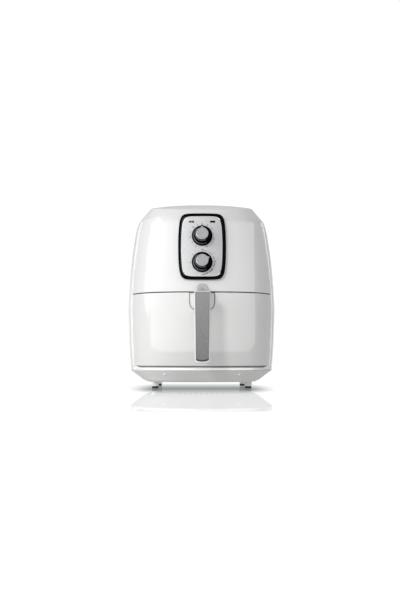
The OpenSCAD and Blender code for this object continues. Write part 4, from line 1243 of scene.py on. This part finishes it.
v, f = grip()
gf = mesh("grip_frame", v, f, M["white2"], "drawer", "handle_grip")
gf.data.materials.append(M["black"])
for q in gf.data.polygons:           # painted shade: the deep gap under the insert's lower end takes matt black
    if min(i // 260 for i in q.vertices) in (13, 14) and len(q.vertices) == 4 and np.mean([v[i, 2] for i in q.vertices]) < 58:
        q.material_index = 1


def insert():
    out = even(grip_outline(23.4, 26.4, 56.0, 184.0, 1.6, 1.4, sag=2.6), 220)
    rows = [upright(inset(out, c), y) for c, y in ((0.3, -211.7), (0.0, -212.0), (0.0, -219.1), (0.12, -219.4), (0.4, -219.6), (0.9, -219.66))]
    mid = np.array([0.0, 120.0])
    for k in (0.85, 0.6, 0.3, 0.05):
        rows.append(upright(mid + (inset(out, 0.9) - mid) * k, -219.68))
    v, f = rings(rows)
    return v, [q[::-1] for q in f]


v, f = insert()
mesh("grip_insert", v, f, M["insert"], "drawer", "handle_insert")


def grip_back():
    out = even(grip_outline(24.0, 26.0, 54, 159.2, 7.0, 3.0), 200)
    rows = [upright(inset(out, c), y) for c, y in ((0.4, -207.95), (0.0, -207.6), (0.0, -204.8), (0.3, -203.0), (1.0, -201.6), (2.2, -200.6), (4.0, -200.05))]
    mid = np.array([0.0, 106.0])
    for k in (0.8, 0.5, 0.2, 0.04):
        rows.append(upright(mid + (inset(out, 4.0) - mid) * k, -199.95))
    v, f = rings(rows)
    return mesh("grip_back_cover", v, f, M["white2"], "drawer", "handle_back")


grip_back()


def root_and_neck():
    # the block that fills the notch, following the drawer's curve a little below its face
    out = even(notch_outline(0.7, top=186.0, k=60), 220)
    ctr = np.array([0.0, 172.0])
    rows = []
    for c, dy in ((0.0, 20.0), (0.0, 3.2), (0.1, 2.5), (0.4, 1.75), (0.9, 1.3), (1.5, 1.15)):
        p = inset(out, c)
        rows.append(np.stack([p[:, 0], face_y(p[:, 0], p[:, 1]) + dy, p[:, 1]], -1))
    base = inset(out, 1.5)
    for k in (0.8, 0.5, 0.2, 0.04):
        p = ctr + (base - ctr) * k
        rows.append(np.stack([p[:, 0], face_y(p[:, 0], p[:, 1]) + 1.15, p[:, 1]], -1))
    v, f = rings(rows, False, False)
    # both ends close on a middle point
    n, last = len(out), (len(rows) - 1) * len(out)
    v = np.concatenate([v, [[0.0, rows[0][:, 1].mean(), 172.0]], [[0.0, rows[-1][:, 1].mean(), 172.0]]])
    f += [((j + 1) % n, j, last + n) for j in range(n)]
    f += [(last + j, last + (j + 1) % n, last + n + 1) for j in range(n)]
    f = [q[::-1] for q in f]
    # the neck: a rounded bar that flares where it meets the block
    rows = []
    for y, w, z0, z1 in ((-208.0, 26.0, 161.5, 184.8), (-207.7, 26.8, 160.4, 185.9), (-206.8, 27.0, 160.1, 186.2), (-196, 27.0, 160.0, 186.3), (-182, 27.0, 160.0, 186.3),
                         (-175, 27.6, 159.4, 186.3), (-171, 29.0, 158.4, 186.3), (-168.4, 31.4, 157.2, 186.3), (-167.4, 34.0, 156.2, 186.3), (-160, 34.6, 156.0, 186.3)):
        p = even(round_poly([(-w / 2, z0), (w / 2, z0), (w / 2, z1), (-w / 2, z1)], [4.2, 4.2, 2.2, 2.2], 8), 120)
        rows.append(upright(p, y))
    v2, f2 = rings(rows)
    f2 = [q for q in f2]
    b = len(v)
    v = np.concatenate([v, v2])
    f = f + [tuple(i + b for i in q[::-1]) for q in f2]
    ob = mesh("handle_root", v, f, M["white2"], "drawer", "handle_base")
    cut_boxes(ob, [((-9, -196, 172), (9, -179, 190)), ((-17.6, -158.4, 169.6), (17.6, -120, 172.4))])
    return ob


root_and_neck()


def arch_outline(w, h, r, k=30):
    a = np.linspace(0, math.pi, k)
    top = np.stack([w * sp(np.cos(a), 0.8), h - r + r * sp(np.sin(a), 0.9)], -1)
    return np.concatenate([[[-w, 0.0]], [[w, 0.0]], top])


def guard():
    z0 = 186.8

    def ring(w, h, y):
        o = arch_outline(w, h, min(10.0, h - 1))
        o = even(o, 160)
        i = int(np.argmin(np.linalg.norm(o - np.array([0, 0.0]), axis=1)))
        return upright(np.roll(o, -i, 0) + np.array([0, z0]), y)
    rows = [ring(9.9, 13.1, -176.0), ring(9.9, 13.1, -201.4), ring(8.6, 11.7, -201.5)]
    rows_o = [ring(11.0, 14.2, -176.0), ring(11.3, 14.5, -176.3), ring(11.3, 14.5, -200.4), ring(11.1, 14.3, -201.9), ring(10.4, 13.6, -202.8), ring(9.1, 12.3, -203.0)]
    n = len(rows[0])
    v = np.concatenate([*rows_o, *rows[::-1]])
    m = len(rows_o) + len(rows)
    f = grid_faces(m, n, wrap=True)
    # front cap of the outer skin and inner cap, then the rear edge
    a = len(rows_o)
    f = [q for q in f if not (q[0] // n == a - 1)]
    f.append(tuple(range((a - 1) * n, a * n)))
    f.append(tuple(range(a * n, (a + 1) * n))[::-1])
    f += [((m - 1) * n + j, (m - 1) * n + (j + 1) % n, (j + 1) % n, j) for j in range(n)]
    return v, f


v, f = guard()
mesh("button_hood", v, f, M["smoky"], "guard", "button_guard")


def soft_block(name, lo, hi, r, mat_, body, node=None, axis="z", steps=6, extra=None):
    """A block with rounded upright corners and rounded top and bottom edges."""
    w, d = hi[0] - lo[0], hi[1] - lo[1]
    cx_, cy_ = (hi[0] + lo[0]) / 2, (hi[1] + lo[1]) / 2
    base = round_poly([(-w / 2, -d / 2), (w / 2, -d / 2), (w / 2, d / 2), (-w / 2, d / 2)], [r * 1.6] * 4, 8)
    rows = []
    st = round_steps(r, steps)
    for d_, e_ in st:
        rows.append(np.concatenate([inset(base, e_) + [cx_, cy_], np.full((len(base), 1), lo[2] + d_)], 1))
    for d_, e_ in reversed(st):
        rows.append(np.concatenate([inset(base, e_) + [cx_, cy_], np.full((len(base), 1), hi[2] - d_)], 1))
    v, f = rings(rows)
    return mesh(name, v, f, mat_, body, node)


soft_block("release_key", (-8, -195, 178.8), (8, -180, 192.0), 1.6, M["grey"], "button", "release_button")


# ------------------------------------------------------------------ feet and small outer parts
def feet():
    stems_v, stems_f, pad_v, pad_f = [], [], [], []
    for x, y in ((92.4, -88), (-92.4, -88), (90, 84), (-90, 84)):
        rows = lathe([(5.4, 4.15), (6.3, 4.2), (6.7, 4.5), (6.9, 5.2), (7.1, 8.0), (7.4, 11.0), (7.7, 12.6), (7.7, 13.05), (5.5, 13.1)], 64)
        v, f = rings(rows)
        b = sum(len(q) for q in stems_v)
        stems_v.append(v + np.array([x, y, 0]))
        stems_f += [tuple(i + b for i in q) for q in f]
        rows = lathe([(2.0, 0.35), (3.2, 0.3), (3.6, 0.0), (5.5, 0.0), (6.2, 0.25), (6.5, 0.9), (6.5, 3.2), (6.3, 3.8), (5.8, 4.1), (3.0, 4.12)], 64)
        v, f = rings(rows)
        b = sum(len(q) for q in pad_v)
        pad_v.append(v + np.array([x, y, 0]))
        pad_f += [tuple(i + b for i in q) for q in f]
    mesh("foot_cups", np.concatenate(stems_v), stems_f, M["white2"], "housing", "foot_stems")
    mesh("foot_pads", np.concatenate(pad_v), pad_f, M["rubber"], "housing", "rubber_feet")


feet()

# ------------------------------------------------------------------ pan and basket
AX = -19.0


def rrect(w, d, r, per=14, straight=10):
    """Rounded rectangle outline, anticlockwise, from the middle of the right side's lower end."""
    pts = []
    for cx_, cy_, a0 in ((w / 2 - r, d / 2 - r, 0), (-(w / 2 - r), d / 2 - r, 90), (-(w / 2 - r), -(d / 2 - r), 180), (w / 2 - r, -(d / 2 - r), 270)):
        pts += [(cx_ + r * math.cos((a0 + 90 * i / per) * D2R), cy_ + r * math.sin((a0 + 90 * i / per) * D2R)) for i in range(per + 1)]
    out = []
    n = len(pts)
    for i in range(n):
        p, q = np.array(pts[i]), np.array(pts[(i + 1) % n])
        out.append(p)
        if (i + 1) % (per + 1) == 0:
            for j in range(1, straight):
                out.append(p + (q - p) * j / straight)
    return np.array(out)


def pan_mesh():
    W, Dp = 216.0, 224.0
    rows = []

    def ring(ins, z, r=34.0):
        p = rrect(W - 2 * ins, Dp - 2 * ins, max(6.0, r - ins))
        return np.concatenate([p + [0, AX], np.full((len(p), 1), z)], 1)
    # outside, from the middle of the floor out and up, over the rim, then down the inside
    rf = 13.0
    rows.append(ring(60, 50.2))
    rows.append(ring(rf + 3, 50.0))
    for i in range(9):
        a = math.pi / 2 * i / 8
        rows.append(ring(1.0 + rf * (1 - math.sin(a)), 50 + rf * (1 - math.cos(a))))
    rows += [ring(0.6, 100), ring(0.15, 150), ring(0.0, 164.4), ring(-0.4, 165.8), ring(-1.4, 166.5), ring(-3.4, 166.6), ring(-3.9, 166.9), ring(-4.0, 167.3),
             ring(-3.8, 167.8), ring(-3.2, 168.0), ring(-1.0, 168.0), ring(0.3, 167.7), ring(1.0, 166.8), ring(1.15, 165.0), ring(1.3, 150), ring(1.7, 100)]
    for i in reversed(range(9)):
        a = math.pi / 2 * i / 8
        rows.append(ring(2.2 + (rf - 1) * (1 - math.sin(a)), 51.2 + (rf - 1) * (1 - math.cos(a))))
    rows.append(ring(rf + 4, 51.2))
    for ins, z in ((28, 51.3), (30, 52.4), (34, 52.8), (60, 52.9)):
        rows.append(ring(ins, z))
    v, f = rings(rows)
    return v, f


v, f = pan_mesh()
mesh("drawer_pan", v, f, M["nonstick"], "drawer", "pan")


def basket_mesh():
    W, Dp, R0 = 198.0, 206.0, 28.0
    T = 1.0
    outline = rrect(W, Dp, R0, per=16, straight=24)
    n = len(outline)
    closed = np.concatenate([outline, outline[:1]])
    s = np.concatenate([[0], np.cumsum(np.linalg.norm(np.diff(closed, axis=0), axis=1))])
    L = s[-1]
    nx = np.roll(outline, -1, 0) - np.roll(outline, 1, 0)
    nx = nx / np.linalg.norm(nx, axis=1, keepdims=True)
    nrm = np.stack([nx[:, 1], -nx[:, 0]], -1)
    nrm_c = np.concatenate([nrm, nrm[:1]])

    def place_wall(sv, zv, ins):
        sv = np.mod(sv, L)
        x = np.interp(sv, s, closed[:, 0])
        y = np.interp(sv, s, closed[:, 1])
        ax = np.interp(sv, s, nrm_c[:, 0])
        ay = np.interp(sv, s, nrm_c[:, 1])
        # rounds into the floor over the lowest 9 mm, and draws in a little on the way down
        rf = 9.0
        zz = np.clip((zv - 66.0) / rf, 0, 1)
        curve = rf * (1 - np.sqrt(np.maximum(0, 1 - (1 - zz) ** 2)))
        inw = ins + curve + 1.2 * (1 - np.clip((zv - 66) / 100, 0, 1))
        z_out = zv + ins * (1 - zz)
        return np.stack([x - ax * inw, y - ay * inw + AX, z_out], -1)

    # wall, unrolled: slots in two rows
    holes = []
    pitch = 14.0
    k = int(L // pitch)
    for row, zc_ in enumerate((92.0, 118.0, 144.0)):
        for i in range(k):
            c0 = (i + 0.5 * (row % 2)) * L / k + 3.5
            if c0 + 3 > L - 1 or c0 < 4:
                continue
            a = np.linspace(0, math.pi, 9)
            top = [(c0 + 2.2 * math.cos(t), zc_ + 6.0 + 2.2 * math.sin(t)) for t in a]
            bot = [(c0 - 2.2 * math.cos(t), zc_ - 6.0 - 2.2 * math.sin(t)) for t in a]
            holes.append(np.array(top + bot))
    z_lo, z_hi = 66.0, 166.8
    zs_ = list(66.0 + 9.0 * (1 - np.cos(np.linspace(0, math.pi / 2, 7)))) + [80, 104.9, 131, 157, z_hi]
    cols = np.linspace(0, L, 241)
    outer = [(0, z) for z in reversed(zs_)]
    outer = [(c, z_lo) for c in cols] + [(L, z) for z in zs_[1:-1]] + [(c, z_hi) for c in cols[::-1]] + [(0, z) for z in reversed(zs_[1:-1])]
    seeds = [(c, z) for c in cols[1:-1] for z in zs_[1:-1]]

    def clear(p):
        return all(abs(p[0] - h[:, 0].mean()) > 3.6 or abs(p[1] - h[:, 1].mean()) > 9.8 for h in near_holes(p))

    grid_h = {}
    for h in holes:
        grid_h.setdefault(int(h[:, 0].mean() // 20), []).append(h)

    def near_holes(p):
        g = int(p[0] // 20)
        return [h for q in (g - 1, g, g + 1) for h in grid_h.get(q, [])]
    seeds = [p for p in seeds if clear(p)]
    pts, edges = [], []
    for loop in [outer, *holes]:
        b = len(pts)
        pts += [Vector((float(x), float(y))) for x, y in loop]
        edges += [(b + i, b + (i + 1) % len(loop)) for i in range(len(loop))]
    pts += [Vector(p) for p in seeds]
    out = delaunay_2d_cdt(pts, edges, [], 1, 1e-6)
    P = np.array([tuple(q) for q in out[0]])
    faces = []
    for tri in out[2]:
        tri = list(tri)
        c = P[tri].mean(0)
        if any(abs(c[0] - h[:, 0].mean()) < 2.25 and abs(c[1] - h[:, 1].mean()) < 8.3 and inside(c, h) for h in near_holes(c)):
            continue
        a, b, d = P[tri[0]], P[tri[1]], P[tri[2]]
        if (b[0] - a[0]) * (d[1] - a[1]) - (b[1] - a[1]) * (d[0] - a[0]) < 0:
            tri = tri[::-1]
        faces.append(tuple(tri))
    # weld the two ends of the unrolled wall
    left = {round(P[i, 1], 4): i for i in range(len(P)) if abs(P[i, 0]) < 1e-6}
    right = {i: left[round(P[i, 1], 4)] for i in range(len(P)) if abs(P[i, 0] - L) < 1e-6 and round(P[i, 1], 4) in left}
    faces = [tuple(right.get(i, i) for i in q) for q in faces]
    vo, vi = place_wall(P[:, 0], P[:, 1], 0.0), place_wall(P[:, 0], P[:, 1], T)

    # floor, inside the wall's foot
    foot_o, foot_i = place_wall(cols[:-1], np.full(len(cols) - 1, z_lo), 0.0), place_wall(cols[:-1], np.full(len(cols) - 1, z_lo), T)
    ring_ids = [min(range(len(P)), key=lambda i: abs(P[i, 0] - c) + abs(P[i, 1] - z_lo)) for c in cols[:-1]]
    fh = []
    for i in range(-4, 5):
        for j in range(-4, 5):
            if abs(i) + abs(j) < 8:
                fh.append(circle(3.6, i * 20.0, j * 20.0 + AX, 24))
    fp, ff = flat_with_holes(foot_o[:, :2], fh)
    fo_v = np.concatenate([fp, np.full((len(fp), 1), z_lo)], 1)
    fi_v = fo_v + [0, 0, T]
    # the floor faces down outside, up inside
    ff_out = [q[::-1] for q in ff]
    # stitch all: the foot loop of the floor shares the wall's points
    nP = len(P)
    key = {(round(float(a), 3), round(float(b), 3)): ring_ids[i] for i, (a, b) in enumerate(foot_o[:, :2])}
    mp = {}
    add_o, add_i = [], []
    for i, (x, y) in enumerate(fp):
        k_ = (round(float(x), 3), round(float(y), 3))
        if k_ in key:
            mp[i] = key[k_]
        else:
            mp[i] = nP + len(add_o)
            add_o.append(fo_v[i])
            add_i.append(fi_v[i])
    vo_all = np.concatenate([vo, np.array(add_o)])
    vi_all = np.concatenate([vi, np.array(add_i)])
    faces_all = faces + [tuple(mp[i] for i in q) for q in ff_out]
    v, f = thicken(vo_all, faces_all, vi_all)
    # rim: a rolled flange over the pan's rim
    b = len(v)
    rows = []
    for ins, z in ((1.4, 166.4), (0.2, 166.6), (-0.3, 167.6), (-1.2, 168.35), (-4.0, 168.4), (-10.0, 168.4), (-10.9, 168.6), (-11.0, 169.1), (-10.7, 169.6), (-10.0, 169.75),
                   (-4.0, 169.7), (-0.6, 169.5), (0.6, 168.8), (1.25, 167.6), (1.5, 166.6)):
        q = rrect(W - 2 * ins, Dp - 2 * ins, R0 - ins, per=14, straight=10)
        rows.append(np.concatenate([q + [0, AX], np.full((len(q), 1), z)], 1))
    v3, f3 = rings(rows, False, False)
    m_, n_ = len(rows), len(rows[0])
    f3 += [((m_ - 1) * n_ + j, (m_ - 1) * n_ + (j + 1) % n_, (j + 1) % n_, j) for j in range(n_)]
    v = np.concatenate([v, v3])
    f = list(f) + [tuple(i + b for i in q) for q in f3]
    return v, f


v, f = basket_mesh()
basket = mesh("food_basket", v, f, M["nonstick"], "drawer", "basket")
wn = basket.modifiers.new("edges", "EDGE_SPLIT")
wn.split_angle = 40 * D2R

# ------------------------------------------------------------------ CAD nodes that keep their shape
KEEP = {
    # base_plugs take the brighter lip white: painted highlight
    "bottom_plate": "base", "base_plugs": "lip", "base_screws": "steel", "cavity_liner": "zinc", "drawer_rails": "zinc",
    "air_shroud": "zinc", "exhaust_duct": "zinc", "heating_element": "heater", "heater_clips": "zinc", "heater_guard": "wire",
    "convection_fan": "alu", "motor_shaft": "steel", "cooling_fan": "black", "fan_motor": "iron", "motor_bracket": "zinc",
    "motor_screws": "steel", "panel_carrier": "black", "lamp_board": "board", "timer_unit": "grey", "timer_bell": "steel",
    "timer_shaft": "steel", "thermostat_unit": "steel", "thermostat_bulb": "copper", "thermostat_shaft": "steel",
    "interlock_switch": "black", "interlock_plunger": "white2", "terminal_block": "ceramic", "rear_vent_grille": "inner",
    "rear_spacers": "base", "rear_screws": "steel", "cord_inlet_bush": "rubber", "drawer_inner_frame": "inner",
    "basket_bumpers": "rubber", "basket_bracket": "zinc", "handle_screws": "steel", "release_spring": "wire",
}
for name, key in KEEP.items():
    ob = NODE[name]
    ob.data.materials.clear()
    ob.data.materials.append(M[key])
    for p in ob.data.polygons:
        p.use_smooth = True
    es = ob.modifiers.new("edges", "EDGE_SPLIT")
    es.split_angle = 32 * D2R

# ------------------------------------------------------------------ stage
def softbox():
    """A wide lit card in front, seen only in gloss: it stands where the front faces mirror it towards the camera."""
    eye = np.array(cam.location) / MM - np.array([0, YS, 0])
    xs, zs = np.linspace(-104, 108, 40), np.linspace(72.6, 327, 44)
    verts, soft = [], []
    for z in zs:
        for x in xs:
            # round the two lower corners
            r = 23.0
            xx = x
            if z - zs[0] < r:
                cut = r - math.sqrt(max(0.0, r * r - (r - (z - zs[0])) ** 2))
                xx = max(xs[0] + cut, min(xs[-1] - cut, x))
            e = 0.5

            def y_at(a, b):
                return float(fy(np.float64(a), np.float64(b)))
            p = np.array([xx, y_at(xx, z), z])
            nx_ = (y_at(xx + e, z) - y_at(xx - e, z)) / (2 * e)
            nz_ = (y_at(xx, z + e) - y_at(xx, z - e)) / (2 * e)
            n = np.array([nx_, -1.0, nz_])
            n /= np.linalg.norm(n)
            d = p - eye
            d /= np.linalg.norm(d)
            r_ = d - 2 * (d @ n) * n
            verts.append(p + r_ * CARD_FAR + [0, YS, 0])
            soft.append(1.0 + 0.26 * float(1 - smooth(-60, 40, xx)))
    me = bpy.data.meshes.new("card")
    me.from_pydata((np.array(verts) * MM).tolist(), [], [tuple(q) for q in grid_faces(len(zs), len(xs))])
    me.update()
    at = me.attributes.new("soft", "FLOAT", "POINT")
    at.data.foreach_set("value", soft)
    me.polygons.foreach_set("use_smooth", [True] * len(me.polygons))
    ob = bpy.data.objects.new("card", me)
    bpy.context.scene.collection.objects.link(ob)
    m = bpy.data.materials.new("card_light")
    m.use_nodes = True
    t = m.node_tree
    for x in list(t.nodes):
        t.nodes.remove(x)
    out = t.nodes.new("ShaderNodeOutputMaterial")
    em = t.nodes.new("ShaderNodeEmission")
    a = t.nodes.new("ShaderNodeAttribute")
    a.attribute_name = "soft"
    mr = t.nodes.new("ShaderNodeMapRange")
    mr.clamp = False
    mr.inputs["To Min"].default_value, mr.inputs["To Max"].default_value = 0.0, CARD
    t.links.new(a.outputs["Fac"], mr.inputs["Value"])
    t.links.new(mr.outputs["Result"], em.inputs["Strength"])
    t.links.new(em.outputs["Emission"], out.inputs["Surface"])
    me.materials.append(m)
    ob.visible_camera = ob.visible_diffuse = ob.visible_shadow = ob.visible_transmission = False


AMBIENT, CARD, CARD_FAR = 0.55, 1.52, 900.0
SIDE_E, SIDE_DIR, SIDE_ANGLE = 0.66, (-0.966, 0.0, 0.259), 30
KEY_E, KEY_DIR, KEY_ANGLE = 1.0, (-0.439, -0.793, 0.423), 12
FILL_E, FILL_DIR, FILL_ANGLE = 0.45, (-0.785, -0.453, 0.423), 25
FLOOR_AO = 0.10
FLOOR_NEAR, FLOOR_WIDE = 0.49, 0.39


def stage():
    me = bpy.data.meshes.new("floor")
    bm = bmesh.new()
    n = 48
    ringsv = []
    for r in (0.0, 9.0):
        if r == 0:
            ringsv.append([bm.verts.new((0, 0, 0))])
        else:
            ringsv.append([bm.verts.new((r * math.cos(2 * math.pi * i / n), r * math.sin(2 * math.pi * i / n), 0)) for i in range(n)])
    for i in range(n):
        bm.faces.new((ringsv[0][0], ringsv[1][i], ringsv[1][(i + 1) % n]))
    bm.to_mesh(me)
    bm.free()
    fl = bpy.data.objects.new("floor", me)
    bpy.context.scene.collection.objects.link(fl)
    fl.location.z = -0.0002
    m, t, b = nodes_of("floor_white")
    out = next(x for x in t.nodes if x.type == "OUTPUT_MATERIAL")
    t.nodes.remove(b)
    # a white table standing in for a lit one: it glows evenly, with painted shade only where the body stands close over
    # it
    ao = t.nodes.new("ShaderNodeAmbientOcclusion")
    ao.inputs["Distance"].default_value = FLOOR_AO
    ao.samples = 12
    glow = t.nodes.new("ShaderNodeEmission")
    mr = t.nodes.new("ShaderNodeMapRange")
    mr.inputs["From Min"].default_value, mr.inputs["From Max"].default_value = 0.05, 0.62
    mr.inputs["To Min"].default_value, mr.inputs["To Max"].default_value = 0.62, 1.0
    t.links.new(ao.outputs["AO"], mr.inputs["Value"])
    geo = t.nodes.new("ShaderNodeNewGeometry")
    xyz = t.nodes.new("ShaderNodeSeparateXYZ")
    t.links.new(geo.outputs["Position"], xyz.inputs["Vector"])
    # the painted soft shadow under the body and in front of it, set by floor depth and by width
    dep = t.nodes.new("ShaderNodeMapRange")
    dep.inputs["From Min"].default_value, dep.inputs["From Max"].default_value = -0.56 + YS * MM, 0.36 + YS * MM
    t.links.new(xyz.outputs["Y"], dep.inputs["Value"])
    stops = [(-432, 1.0), (-385, 0.93), (-336, 0.82), (-285, 0.66), (-231, 0.46), (-173, 0.345), (-113, 0.315),
             (-48, 0.36), (20, 0.445), (92, 0.595), (170, 0.72), (252, 0.93), (330, 1.0)]
    by_y = ramp(t, dep.outputs["Result"], [((y + 560) / 920, (g * (1 - 0.09 * (1 - g)), g * (1 - 0.01 * (1 - g)), g)) for y, g in stops])
    xa = t.nodes.new("ShaderNodeMath")
    xa.operation = "ABSOLUTE"
    t.links.new(xyz.outputs["X"], xa.inputs[0])
    wide = ramp(t, dep.outputs["Result"], [((y + 560) / 920, (g, g, g)) for y, g in
                                           ((-560, 0.30), (-470, 0.55), (-385, 0.74), (-285, 0.89), (-200, 0.97), (-120, 1.0), (0, 1.0), (120, 1.0),
                                            (220, 0.92), (330, 0.6))])
    xk = t.nodes.new("ShaderNodeMath")
    xk.operation = "DIVIDE"
    t.links.new(xa.outputs["Value"], xk.inputs[0])
    t.links.new(wide, xk.inputs[1])
    by_x = t.nodes.new("ShaderNodeMapRange")
    by_x.interpolation_type = "SMOOTHSTEP"
    by_x.inputs["From Min"].default_value, by_x.inputs["From Max"].default_value = 0.088, 0.153
    t.links.new(xk.outputs["Value"], by_x.inputs["Value"])
    fill = t.nodes.new("ShaderNodeMix")
    fill.data_type = "RGBA"
    fill.inputs["B"].default_value = (1, 1, 1, 1)
    t.links.new(by_x.outputs["Result"], fill.inputs["Factor"])
    t.links.new(by_y, [i for i in fill.inputs if i.name == "A" and i.type == "RGBA"][0])
    [i for i in fill.inputs if i.name == "B" and i.type == "RGBA"][0].default_value = (1, 1, 1, 1)
    shade = t.nodes.new("ShaderNodeMix")
    shade.data_type, shade.blend_type = "RGBA", "DARKEN"
    shade.inputs["Factor"].default_value = 1.0
    t.links.new([o for o in fill.outputs if o.type == "RGBA"][0], [i for i in shade.inputs if i.name == "A" and i.type == "RGBA"][0])
    t.links.new(mr.outputs["Result"], [i for i in shade.inputs if i.name == "B" and i.type == "RGBA"][0])
    shade_out = [o for o in shade.outputs if o.type == "RGBA"][0]
    t.links.new(shade_out, glow.inputs["Color"])
    glow.inputs["Strength"].default_value = 1.04
    ln = t.nodes.new("ShaderNodeVectorMath")
    ln.operation = "LENGTH"
    t.links.new(geo.outputs["Position"], ln.inputs[0])
    # what it gives the object: most close by, less further out
    far = t.nodes.new("ShaderNodeMapRange")
    far.interpolation_type = "SMOOTHSTEP"
    far.inputs["From Min"].default_value, far.inputs["From Max"].default_value = 0.2, 1.0
    far.inputs["To Min"].default_value, far.inputs["To Max"].default_value = FLOOR_NEAR, FLOOR_WIDE
    t.links.new(ln.outputs["Value"], far.inputs["Value"])
    give = t.nodes.new("ShaderNodeEmission")
    t.links.new(far.outputs["Result"], give.inputs["Strength"])
    lp = t.nodes.new("ShaderNodeLightPath")
    body = t.nodes.new("ShaderNodeMixShader")
    t.links.new(lp.outputs["Is Camera Ray"], body.inputs["Fac"])
    t.links.new(give.outputs["Emission"], body.inputs[1])
    t.links.new(glow.outputs["Emission"], body.inputs[2])
    glo = t.nodes.new("ShaderNodeBsdfGlossy")
    t.links.new(shade_out, glo.inputs["Color"])
    glo.inputs["Roughness"].default_value = 0.02
    mix = t.nodes.new("ShaderNodeMixShader")
    fre = t.nodes.new("ShaderNodeFresnel")
    fre.inputs["IOR"].default_value = 1.5
    fade = t.nodes.new("ShaderNodeMapRange")
    fade.interpolation_type = "SMOOTHSTEP"
    fade.inputs["From Min"].default_value, fade.inputs["From Max"].default_value = 0.885, 0.97
    fade.inputs["To Min"].default_value, fade.inputs["To Max"].default_value = 0.5, 0.0
    t.links.new(ln.outputs["Value"], fade.inputs["Value"])
    mul = t.nodes.new("ShaderNodeMath")
    mul.operation = "MULTIPLY"
    t.links.new(fre.outputs["Fac"], mul.inputs[0])
    t.links.new(fade.outputs["Result"], mul.inputs[1])
    t.links.new(mul.outputs["Value"], mix.inputs["Fac"])
    t.links.new(body.outputs["Shader"], mix.inputs[1])
    t.links.new(glo.outputs["BSDF"], mix.inputs[2])
    t.links.new(mix.outputs["Shader"], out.inputs["Surface"])
    me.materials.append(m)
    fl.visible_glossy = False

    w = bpy.data.worlds.new("studio")
    bpy.context.scene.world = w
    w.use_nodes = True
    t = w.node_tree
    for x in list(t.nodes):
        t.nodes.remove(x)
    out = t.nodes.new("ShaderNodeOutputWorld")
    lp = t.nodes.new("ShaderNodeLightPath")
    amb = t.nodes.new("ShaderNodeBackground")
    amb.inputs["Color"].default_value = (1, 1, 1, 1)
    # the studio: even all round, with a bright low band straight behind for the table's sheen
    tc = t.nodes.new("ShaderNodeTexCoord")
    sep = t.nodes.new("ShaderNodeSeparateXYZ")
    t.links.new(tc.outputs["Generated"], sep.inputs["Vector"])
    ab = t.nodes.new("ShaderNodeMath")
    ab.operation = "ABSOLUTE"
    t.links.new(sep.outputs["Z"], ab.inputs[0])
    band = t.nodes.new("ShaderNodeMapRange")
    band.interpolation_type = "SMOOTHSTEP"
    band.inputs["From Min"].default_value, band.inputs["From Max"].default_value = 0.06, 0.14
    band.inputs["To Min"].default_value, band.inputs["To Max"].default_value = 1.04 - AMBIENT, 0.0
    t.links.new(ab.outputs["Value"], band.inputs["Value"])
    beh = t.nodes.new("ShaderNodeMapRange")
    beh.interpolation_type = "SMOOTHSTEP"
    beh.inputs["From Min"].default_value, beh.inputs["From Max"].default_value = 0.90, 0.96
    t.links.new(sep.outputs["Y"], beh.inputs["Value"])
    mb = t.nodes.new("ShaderNodeMath")
    mb.operation = "MULTIPLY_ADD"
    t.links.new(band.outputs["Result"], mb.inputs[0])
    t.links.new(beh.outputs["Result"], mb.inputs[1])
    mb.inputs[2].default_value = AMBIENT
    t.links.new(mb.outputs["Value"], amb.inputs["Strength"])
    whi = t.nodes.new("ShaderNodeBackground")
    whi.inputs["Color"].default_value = (1, 1, 1, 1)
    whi.inputs["Strength"].default_value = 1.05
    mix = t.nodes.new("ShaderNodeMixShader")
    t.links.new(lp.outputs["Is Camera Ray"], mix.inputs["Fac"])
    t.links.new(amb.outputs["Background"], mix.inputs[1])
    t.links.new(whi.outputs["Background"], mix.inputs[2])
    t.links.new(mix.outputs["Shader"], out.inputs["Surface"])

    def sun(name, towards, energy, angle, glossy=False):
        l = bpy.data.lights.new(name, "SUN")
        l.energy = energy
        l.angle = angle * D2R
        o = bpy.data.objects.new(name, l)
        o.location = Vector(towards) * 3
        o.rotation_mode = "QUATERNION"
        o.rotation_quaternion = (-Vector(towards)).to_track_quat("-Z", "Y")
        bpy.context.scene.collection.objects.link(o)
        o.visible_camera = False
        o.visible_glossy = glossy
        return o
    sun("key", KEY_DIR, KEY_E, KEY_ANGLE)
    sun("side", SIDE_DIR, SIDE_E, SIDE_ANGLE)
    sun("side_gloss", SIDE_DIR, 0.35, SIDE_ANGLE, glossy=True)
    sun("fill", FILL_DIR, FILL_E, FILL_ANGLE)


softbox()
stage()
